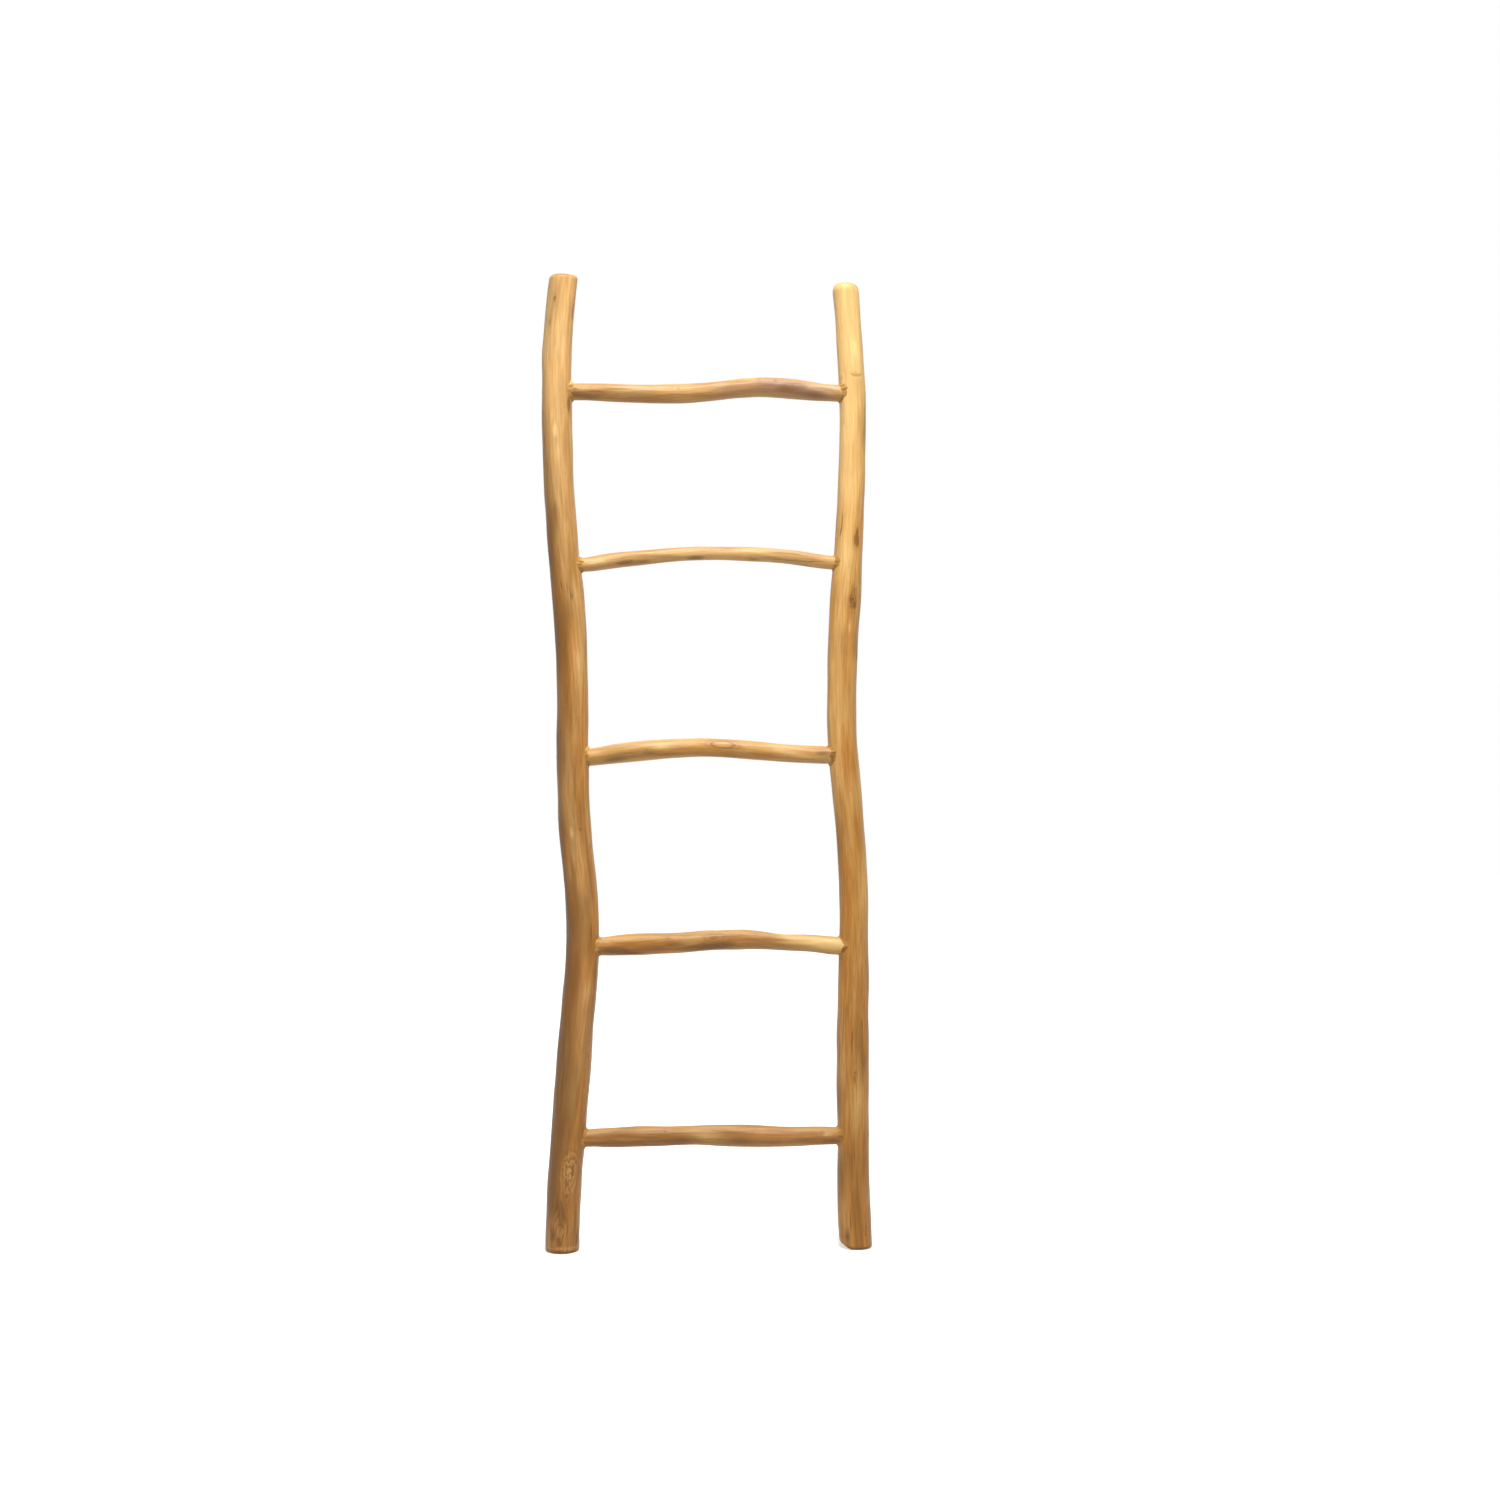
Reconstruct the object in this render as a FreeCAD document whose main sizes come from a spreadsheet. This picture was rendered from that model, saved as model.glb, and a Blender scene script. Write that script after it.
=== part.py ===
import FreeCAD, Part
import os

import Sketcher
from FreeCAD import Vector

# Blanket ladder made of peeled branches, 1.5 m high and half a metre wide.
# Two crooked rails stand upright, five crooked rungs lie between them. Both ends of
# a rung are dressed to a round tenon. A tenon sits in a blind round socket bored
# into the rail, where the rail is dressed to a short round collar. A wooden pin,
# driven along the rung's axis from the rail's outer side, locks each tenon. Its
# outer end is sanded flush with the rail.
#
# +X runs from the left rail to the right one, +Y to the wall behind, +Z up.
# The origin is on the floor, midway between the rails. Sizes are in millimetres.

RUNGS = ("rung_1", "rung_2", "rung_3", "rung_4", "rung_5")

# The middle of the wood along each rail, from the foot up: a name, then height,
# sideways place, depth and diameter. A rung's name marks the place of its joint.
RAIL_STATIONS = {
    "left": (
        ("foot", 0, -224.1, 2, 52),
        ("ankle", 78, -222.1, 0, 52.4),
        ("rung_5", 173.5, -215, -1, 53.3),
        ("low_bend", 293, -206.5, -2, 53.5),
        ("low_bow", 385.5, -198.4, -1, 51.8),
        ("rung_4", 468, -192.9, 1, 50.5),
        ("knee", 539.5, -194.6, 3, 50.3),
        ("thigh", 631, -202.8, 4, 49.5),
        ("rung_3", 759.5, -208.5, 3, 49),
        ("waist", 877, -208.6, 1, 47.9),
        ("high_bend", 969.5, -212.4, -1, 49.4),
        ("rung_2", 1055, -220.1, -2, 48.1),
        ("high_bow", 1184.5, -229.3, -3, 46.3),
        ("rung_1", 1321, -232.6, -1, 46),
        ("neck", 1400.5, -231.1, 1, 44.6),
        ("top", 1500, -222.9, 3, 44),
    ),
    "right": (
        ("foot", 0, 229.1, -3, 51.3),
        ("ankle", 71, 226.7, -1, 50.8),
        ("rung_5", 172.5, 225.5, 1, 49.5),
        ("low_bend", 322, 225.4, 3, 50.2),
        ("rung_4", 467, 226.7, 1, 45.7),
        ("knee", 552.5, 226.1, -1, 44.6),
        ("thigh", 630, 221.8, -3, 44.4),
        ("low_waist", 692, 216.4, -4, 45.6),
        ("rung_3", 762.5, 210, -3, 45.8),
        ("waist", 863, 207.7, -1, 45.3),
        ("knot_swell", 985.5, 212.4, 2, 47.1),
        ("rung_2", 1061, 217.3, 3, 45.1),
        ("high_bend", 1157.5, 222.2, 3, 42.1),
        ("high_bow", 1251, 224.7, 1, 40.8),
        ("rung_1", 1323, 224.1, -1, 41.2),
        ("neck", 1405.5, 219.2, -3, 39.8),
        ("top", 1493, 213.6, -4, 39.8),
    ),
}

# The middle of the wood along each rung between its tenons, from left to right:
# a name, then sideways place, depth, height and diameter.
RUNG_STATIONS = {
    "rung_1": (
        ("near_left", -152.7, -1, 1320.4, 27.6),
        ("left_hollow", -73.4, -2, 1319.1, 28),
        ("middle", -5, -1, 1322.4, 29.4),
        ("knot", 83.4, 1, 1331.8, 29.6),
        ("near_right", 143.7, 0, 1328.2, 29.7),
    ),
    "rung_2": (
        ("near_left", -155.7, -1, 1060.3, 23.6),
        ("left_rise", -100.5, 1, 1066.9, 22.9),
        ("crown", -34.2, 2, 1073.1, 20.8),
        ("right_rise", 75.4, 2, 1072.7, 21.7),
        ("near_right", 140.7, 1, 1067.9, 22),
    ),
    "rung_3": (
        ("near_left", -146, 1, 764, 29.7),
        ("left_rise", -73.4, 0, 771.3, 30),
        ("crown", -8, -2, 774, 28.7),
        ("right_rise", 56.3, -3, 770.7, 28.2),
        ("near_right", 120.6, -3, 765.5, 27.7),
    ),
    "rung_4": (
        ("near_left", -138, 1, 469.4, 31.4),
        ("left_rise", -36.2, 2, 473.3, 31.3),
        ("crown", 62.3, 1, 477.1, 29.1),
        ("right_waist", 121.6, 0, 472.6, 25.9),
        ("near_right", 170.8, -1, 469.3, 26.9),
    ),
    "rung_5": (
        ("near_left", -116.6, 0, 174.4, 30.9),
        ("left_waist", -42.2, 1, 175.1, 29.7),
        ("middle", 13.1, 1, 175.2, 32.6),
        ("right_swell", 69.3, 1, 172.5, 33.2),
        ("near_right", 143.7, 0, 172.2, 29.7),
    ),
}

# How each sawn end of a rail is eased: steps inward from the end, each the height
# from the end's flat and the width taken off the radius there. The right foot stays
# round and upright past its bevel.
RAIL_ENDS = {
    "left_foot": ((0, 4), (4, 0)),
    "left_top": ((0, 7), (2, 3), (7, 0)),
    "right_foot": ((0, 4), (4, 0), (16, 0)),
    "right_top": ((0, 12), (2, 6), (7, 2), (14, 0)),
}

# The dressed round tenon at both ends of each rung.
TENON_DIAMETERS = {"rung_1": 25.8, "rung_2": 21.6, "rung_3": 27.2, "rung_4": 28.2, "rung_5": 27.2}

JOINT_SIZES = {
    "socket_depth": 26,
    "socket_clearance": 0.1,
    "collar_half": 16,
    "tenon_reach": 4,
    "pin_diameter": 8,
    "pin_length": 38,
    "pin_clearance": 0.1,
    "foot_bevel_width": 15,
    "foot_bevel_height": 9,
}

# How far the rungs' sockets lie in front of the middle of each rail's wood.
SOCKET_FORWARD = {"left": 0, "right": 2}

# The way from each rail's middle to the inner side, along X.
INWARD = {"left": 1, "right": -1}

# Past any surface of the wood, so that a bore or bevel comes out in open air.
OVERRUN = 10

# The seam of a branch's skin lies a quarter turn from the line of its bores.
SEAM_ANGLE = 90

document = FreeCAD.newDocument("blanket_ladder")
sizes = document.addObject("Spreadsheet::Sheet", "Sizes")


def named_values():
    """Every driving dimension as a line of the sheet: its title, then its named
    values."""
    for rail, stations in RAIL_STATIONS.items():
        for station, height, side, depth, diameter in stations:
            name = f"{rail}_{station}"
            yield name, {
                f"{name}_height": height,
                f"{name}_side": side,
                f"{name}_depth": depth,
                f"{name}_diameter": diameter,
            }
    for rung, stations in RUNG_STATIONS.items():
        for station, side, depth, height, diameter in stations:
            name = f"{rung}_{station}"
            yield name, {
                f"{name}_side": side,
                f"{name}_depth": depth,
                f"{name}_height": height,
                f"{name}_diameter": diameter,
            }
    for end, steps in RAIL_ENDS.items():
        for number, (inset, taken) in enumerate(steps):
            name = f"{end}_step_{number}"
            yield name, {f"{name}_inset": inset, f"{name}_taken": taken}
    for rung, diameter in TENON_DIAMETERS.items():
        yield f"{rung}_tenon", {f"{rung}_tenon": diameter}
    for rail, forward in SOCKET_FORWARD.items():
        yield f"{rail}_socket_forward", {f"{rail}_socket_forward": forward}
    for name, value in JOINT_SIZES.items():
        yield name, {name: value}


def fill_sheet():
    """Writes the driving dimensions into the sheet, one named cell each."""
    for row, (title, values) in enumerate(named_values(), start=1):
        sizes.set(f"A{row}", title.replace("_", " "))
        for column, (name, value) in zip("BCDE", values.items()):
            sizes.set(f"{column}{row}", str(value))
            sizes.setAlias(f"{column}{row}", name)
    document.recompute()


def origin_plane(body, role):
    return next(plane for plane in body.Origin.OriginFeatures if plane.Role == role)


def placed_sketch(body, name, role, place, turn=0):
    """A sketch on one of the body's origin planes, turned by an angle in degrees
    and moved by three expressions."""
    sketch = body.newObject("Sketcher::SketchObject", name)
    sketch.AttachmentSupport = [(origin_plane(body, role), "")]
    sketch.MapMode = "FlatFace"
    turned = FreeCAD.Rotation(Vector(0, 0, 1), turn)
    sketch.AttachmentOffset = FreeCAD.Placement(Vector(0, 0, 0), turned)
    for axis, expression in zip("xyz", place):
        sketch.setExpression(f"AttachmentOffset.Base.{axis}", expression)
    return sketch


def ring_sketch(body, name, role, ring):
    """A ring of a branch: a circle round the sketch's own origin. The ring gives
    three expressions for its place and one for its diameter."""
    sketch = placed_sketch(body, name, role, ring[:3], SEAM_ANGLE)
    circle = sketch.addGeometry(Part.Circle(Vector(0, 0, 0), Vector(0, 0, 1), OVERRUN))
    sketch.addConstraint(Sketcher.Constraint("Coincident", circle, 3, -1, 1))
    bound = sketch.addConstraint(Sketcher.Constraint("Diameter", circle, 2 * OVERRUN))
    sketch.renameConstraint(bound, "diameter")
    sketch.setExpression("Constraints.diameter", ring[3])
    return sketch


def outline_sketch(body, name, role, place, corners):
    """A closed outline of straight lines. Each corner is a pair of expressions,
    measured from the sketch's origin along its two axes."""
    sketch = placed_sketch(body, name, role, place)
    count = len(corners)
    starts = [Vector(index, index * index, 0) for index in range(count)]
    for index in range(count):
        following = (index + 1) % count
        sketch.addGeometry(Part.LineSegment(starts[index], starts[following]))
    for index in range(count):
        following = (index + 1) % count
        sketch.addConstraint(Sketcher.Constraint("Coincident", index, 2, following, 1))
    for index, (across, up) in enumerate(corners):
        for kind, tag, expression, value in (
            ("DistanceX", "across", across, starts[index].x),
            ("DistanceY", "up", up, starts[index].y),
        ):
            bound = sketch.addConstraint(Sketcher.Constraint(kind, -1, 1, index, 1, value))
            sketch.renameConstraint(bound, f"{tag}_{index}")
            sketch.setExpression(f"Constraints.{tag}_{index}", expression)
    return sketch


def grow_branch(body, name, role, rings):
    """The crooked branch itself: one skin through all its rings."""
    sketches = []
    for number, ring in enumerate(rings):
        sketches.append(ring_sketch(body, f"{name}_ring_{number}", role, ring))
    feature = body.newObject("PartDesign::AdditiveLoft", f"{name}_branch")
    feature.Profile = sketches[0]
    feature.Sections = sketches[1:]
    feature.Ruled = True
    document.recompute()
    return feature


def cut(body, kind, name, sketch, settings):
    """Adds a cutting feature, and stops if it takes no wood away."""
    document.recompute()
    before = body.Tip.Shape.Volume
    feature = body.newObject(kind, name)
    feature.Profile = sketch
    for setting, value in settings.items():
        setattr(feature, setting, value)
    document.recompute()
    if not 0 < feature.Shape.Volume < before:
        raise RuntimeError(f"{name} cuts nothing")
    return feature


def bore(body, name, place, inward, steps):
    """A stepped round bore along X. Each step is a place along the bore, inward
    from the middle of the rail's wood, and the bore's radius there."""
    corners = [(f"{inward} * ({along})", radius) for along, radius in steps]
    corners.insert(0, (f"{inward} * ({steps[0][0]})", "0"))
    corners.append((f"{inward} * ({steps[-1][0]})", "0"))
    sketch = outline_sketch(body, f"{name}_outline", "XZ_Plane", place, corners)
    settings = {"ReferenceAxis": (sketch, ["H_Axis"]), "Angle": 360}
    return cut(body, "PartDesign::Groove", name, sketch, settings)


def joint_place(rail, rung):
    """The middle of a joint in the axes of a sketch on the XZ plane, whose third
    axis points to the front."""
    joint = f"Sizes.{rail}_{rung}"
    return (
        f"{joint}_side",
        f"{joint}_height",
        f"-({joint}_depth - Sizes.{rail}_socket_forward)",
    )


def end_rings(rail, end):
    """The rings that ease a sawn end, from the flat inward."""
    ring = f"Sizes.{rail}_{end}"
    way = "+" if end == "foot" else "-"
    rings = []
    for number in range(len(RAIL_ENDS[f"{rail}_{end}"])):
        step = f"{ring}_step_{number}"
        height = f"{ring}_height {way} {step}_inset"
        diameter = f"{ring}_diameter - 2 * {step}_taken"
        rings.append((f"{ring}_side", f"{ring}_depth", height, diameter))
    return rings


def make_rail(rail):
    """A branch stood on its thick end, with eased ends, an upright round collar at
    each joint, and a socket and a pin's hole bored through each collar.
    Returns the body and the plain branch that the pins are sanded flush with."""
    body = document.addObject("PartDesign::Body", f"{rail}_rail")
    rings = end_rings(rail, "foot")
    for station, *_ in RAIL_STATIONS[rail][1:-1]:
        ring = f"Sizes.{rail}_{station}"
        heights = [f"{ring}_height"]
        if station in RUNGS:
            heights = [f"{ring}_height {way} Sizes.collar_half" for way in "-+"]
        for height in heights:
            rings.append((f"{ring}_side", f"{ring}_depth", height, f"{ring}_diameter"))
    rings.extend(reversed(end_rings(rail, "top")))
    branch = grow_branch(body, f"{rail}_rail", "XY_Plane", rings)
    if rail == "right":
        bevel_foot(body)
    for rung in RUNGS:
        half = f"Sizes.{rail}_{rung}_diameter / 2"
        socket_radius = f"Sizes.{rung}_tenon / 2 + Sizes.socket_clearance"
        pin_radius = "Sizes.pin_diameter / 2 + Sizes.pin_clearance"
        steps = (
            (f"{half} + {OVERRUN}", socket_radius),
            (f"{half} - Sizes.socket_depth", socket_radius),
            (f"{half} - Sizes.socket_depth", pin_radius),
            (f"-{half} - {OVERRUN}", pin_radius),
        )
        bore(body, f"{rail}_{rung}_socket", joint_place(rail, rung), INWARD[rail], steps)
    return body, branch


def bevel_foot(body):
    """Cuts the slanting corner off the inner side of the right rail's foot."""
    edge = "Sizes.right_foot_diameter / 2"
    corners = (
        (f"-{edge} - {OVERRUN}", f"-{OVERRUN}"),
        (f"-{edge} + Sizes.foot_bevel_width", f"-{OVERRUN}"),
        (f"-{edge} + Sizes.foot_bevel_width", "0"),
        (f"-{edge}", "Sizes.foot_bevel_height"),
        (f"-{edge} - {OVERRUN}", "Sizes.foot_bevel_height"),
    )
    place = ("Sizes.right_foot_side", "0", "0")
    sketch = outline_sketch(body, "foot_bevel_outline", "XZ_Plane", place, corners)
    settings = {"Midplane": True, "Type": "ThroughAll"}
    cut(body, "PartDesign::Pocket", "foot_bevel", sketch, settings)


def make_rung(rung):
    """A crooked branch between the rails, dressed at both ends to a round tenon
    that reaches the bottom of its socket, with a hole in each end for a pin."""
    body = document.addObject("PartDesign::Body", rung)
    ends = {}
    for rail, inward in INWARD.items():
        joint = f"Sizes.{rail}_{rung}"
        depth = f"{joint}_depth - Sizes.{rail}_socket_forward"
        face = f"{joint}_side + {inward} * ({joint}_diameter / 2"
        tip = f"{face} - Sizes.socket_depth)"
        mouth = f"{face} + Sizes.tenon_reach)"
        ends[rail] = [
            (depth, f"{joint}_height", side, f"Sizes.{rung}_tenon") for side in (tip, mouth)
        ]
    between = []
    for station, *_ in RUNG_STATIONS[rung]:
        ring = f"Sizes.{rung}_{station}"
        between.append((f"{ring}_depth", f"{ring}_height", f"{ring}_side", f"{ring}_diameter"))
    rings = ends["left"] + between + ends["right"][::-1]
    grow_branch(body, rung, "YZ_Plane", rings)
    for rail, inward in INWARD.items():
        half = f"Sizes.{rail}_{rung}_diameter / 2"
        pin_radius = "Sizes.pin_diameter / 2 + Sizes.pin_clearance"
        steps = (
            (f"Sizes.pin_length - {half}", pin_radius),
            (f"{half} - Sizes.socket_depth - {OVERRUN}", pin_radius),
        )
        bore(body, f"{rung}_{rail}_hole", joint_place(rail, rung), inward, steps)
    return body


def make_pin(rail, rung, branch):
    """A round wooden pin that fills its hole, sanded flush with the rail's skin."""
    name = f"pin_{rung[-1]}_{rail}"
    joint = f"Sizes.{rail}_{rung}"
    inward = INWARD[rail]
    dowel = document.addObject("Part::Cylinder", f"{name}_dowel")
    dowel.setExpression("Radius", "Sizes.pin_diameter / 2")
    dowel.setExpression("Height", f"Sizes.pin_length + {OVERRUN}")
    outward = FreeCAD.Rotation(Vector(0, 0, 1), Vector(-inward, 0, 0))
    dowel.Placement = FreeCAD.Placement(Vector(0, 0, 0), outward)
    bottom = f"{joint}_side + {inward} * (Sizes.pin_length - {joint}_diameter / 2)"
    dowel.setExpression("Placement.Base.x", bottom)
    dowel.setExpression("Placement.Base.y", f"{joint}_depth - Sizes.{rail}_socket_forward")
    dowel.setExpression("Placement.Base.z", f"{joint}_height")
    pin = document.addObject("Part::Common", name)
    pin.Base = dowel
    pin.Tool = branch
    return pin


def write_parts(pieces):
    """Checks every object of the document and every piece's solid, then writes
    each piece to its own file."""
    for item in document.Objects:
        if "Invalid" in item.State or "Error" in item.State:
            raise RuntimeError(f"{item.Label} failed: {item.State}")
    for piece in pieces:
        shape = piece.Shape
        if shape.isNull() or not shape.isValid() or len(shape.Solids) != 1:
            raise RuntimeError(f"{piece.Label} is not one valid solid")
    os.makedirs("parts", exist_ok=True)
    for piece in pieces:
        piece.Shape.exportStep(f"parts/{piece.Label}.step")
        print(f"{piece.Label:16s} {piece.Shape.Volume / 1000:8.1f} cubic centimetres")


fill_sheet()
pieces = []
branches = {}
for rail in ("left", "right"):
    rail_body, branches[rail] = make_rail(rail)
    pieces.append(rail_body)
for rung in RUNGS:
    pieces.append(make_rung(rung))
    for rail in ("left", "right"):
        pieces.append(make_pin(rail, rung, branches[rail]))
document.recompute()
write_parts(pieces)
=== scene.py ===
"""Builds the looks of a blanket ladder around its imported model.

The ladder is made of peeled branches: two crooked rails, five crooked rungs let into
round sockets, a wooden pin behind each tenon and a bead of filler round each joint.
Every branch is a skin over two parameters, the place along it and the angle round
it. All lengths are in metres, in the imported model's own frame: +X from the left rail
to the right one, +Y to the wall behind, +Z up, with the floor at zero.
"""

import math

import bpy
import numpy as np
from bpy.props import FloatProperty, FloatVectorProperty, PointerProperty
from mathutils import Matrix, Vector


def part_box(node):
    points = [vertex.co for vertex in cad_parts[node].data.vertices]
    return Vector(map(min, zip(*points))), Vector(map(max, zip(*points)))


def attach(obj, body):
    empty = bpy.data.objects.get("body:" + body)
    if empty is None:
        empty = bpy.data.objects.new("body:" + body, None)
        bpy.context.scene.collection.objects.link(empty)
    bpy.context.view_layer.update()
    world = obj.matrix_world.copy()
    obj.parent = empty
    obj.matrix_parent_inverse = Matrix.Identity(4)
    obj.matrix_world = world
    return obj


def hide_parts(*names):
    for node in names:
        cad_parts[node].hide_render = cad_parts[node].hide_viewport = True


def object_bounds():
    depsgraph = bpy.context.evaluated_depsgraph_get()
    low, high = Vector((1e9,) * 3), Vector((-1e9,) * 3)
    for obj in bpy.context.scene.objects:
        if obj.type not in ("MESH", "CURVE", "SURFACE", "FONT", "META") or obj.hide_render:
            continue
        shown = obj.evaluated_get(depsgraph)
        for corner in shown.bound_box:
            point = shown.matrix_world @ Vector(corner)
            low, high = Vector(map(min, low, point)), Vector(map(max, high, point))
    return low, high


bl_info = {
    "name": "Blanket Ladder",
    "version": (1, 0, 0),
    "blender": (4, 5, 0),
    "location": "3D View > Sidebar > Ladder",
    "description": "Dresses a blanket ladder of peeled branches in wood, filler and pins",
    "category": "Add Mesh",
}

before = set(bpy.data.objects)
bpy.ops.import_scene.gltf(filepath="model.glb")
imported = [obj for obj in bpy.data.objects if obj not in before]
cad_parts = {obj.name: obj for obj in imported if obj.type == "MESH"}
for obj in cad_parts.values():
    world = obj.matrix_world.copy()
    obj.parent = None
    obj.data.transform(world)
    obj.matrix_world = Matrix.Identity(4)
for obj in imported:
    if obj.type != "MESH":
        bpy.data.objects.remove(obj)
cad_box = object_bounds()

MM = 0.001
SIDES = ("left", "right")
RUNGS = ("rung_1", "rung_2", "rung_3", "rung_4", "rung_5")
# The way from a rail's middle to the ladder's inner side, along X.
INWARD = {"left": 1.0, "right": -1.0}

# CAD vertices that share a place along a branch make a ring when they are this many.
# A rail's rings closer than the join length are one: the two of a joint's collar, or
# an end's. A ring with less than the least radius is the bottom of a pin's hole.
RING_VERTICES = 55
RING_JOIN = 33 * MM
RING_LEAST = 7 * MM

# Seeds of the chance draws: of the first rail, rung and bead, and from one to the next.
RAIL_SEED, RUNG_SEED, BRANCH_SEEDS = 11, 61, 20
BEAD_SEED, BEAD_SEEDS = 300, 7

# Edges sharper than this are shaded as edges.
SHARP_ANGLE = math.radians(55)

# Columns round each kind of piece, and the steps or numbers of its rows.
RAIL_AROUND = 120
RAIL_STEP = 3.0 * MM
JOINT_STEP = 1.3 * MM
JOINT_REACH = 22 * MM
RUNG_AROUND = 80
RUNG_STEP = 1.9 * MM
PIN_AROUND = 48
BEAD_AROUND = 110
BEAD_ROWS = 10
CAP_ROWS = 14
EASE_ROWS = 7
TENON_ROWS = 4

# How each sawn end of a rail is eased: how far along, and how far in.
EASES = {
    "left_foot": (4 * MM, 4 * MM),
    "left_top": (6 * MM, 6 * MM),
    "right_foot": (5 * MM, 5 * MM),
    "right_top": (13 * MM, 11 * MM),
}
TENON_EASE = 0.8 * MM
PIN_EASE = 0.4 * MM
# Rungs are smooth at their collars, and as rough as the rest this far from them.
CALM_REACH = 16 * MM

# Play of a tenon in its socket and of a pin in its hole, on the radius, and how much
# of the wood between the skin and the socket the pin's hole goes through.
SOCKET_PLAY = 0.15 * MM
PIN_PLAY = 0.2 * MM
PIN_DEPTH = 0.6
# Skin points this many steps from a hole's circle move onto it, and points up to the
# second number inside it go to its wall's foot.
MOUTH_BAND = 0.62
FOOT_BAND = 1.9

# The slanting corner of the right foot: its width on the floor, its height, the
# rounding of its edges, and how far up it reaches.
BEVEL_WIDTH = 15 * MM
BEVEL_HEIGHT = 9 * MM
BEVEL_SOFT = 2.5 * MM
BEVEL_REACH = BEVEL_HEIGHT + 6 * MM

# A bead of filler: how near to the corner its curve is drawn, as a share of its reach,
# and how far its edges are sunk into the skins.
BEAD_HOLLOW = 0.22
BEAD_SUNK = 0.12 * MM

# Width of a year's ring on a sawn end, and the depth of the bump in each finish.
RING_WIDTH = 2.6 * MM
BUMP_DEPTH = 0.25 * MM

# Half of the floor's width, its level, and how far the feet are from its middle.
FLOOR_REACH = 9.0
FLOOR_LEVEL = -0.1 * MM
FOOT_PLACE = 0.229

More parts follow.
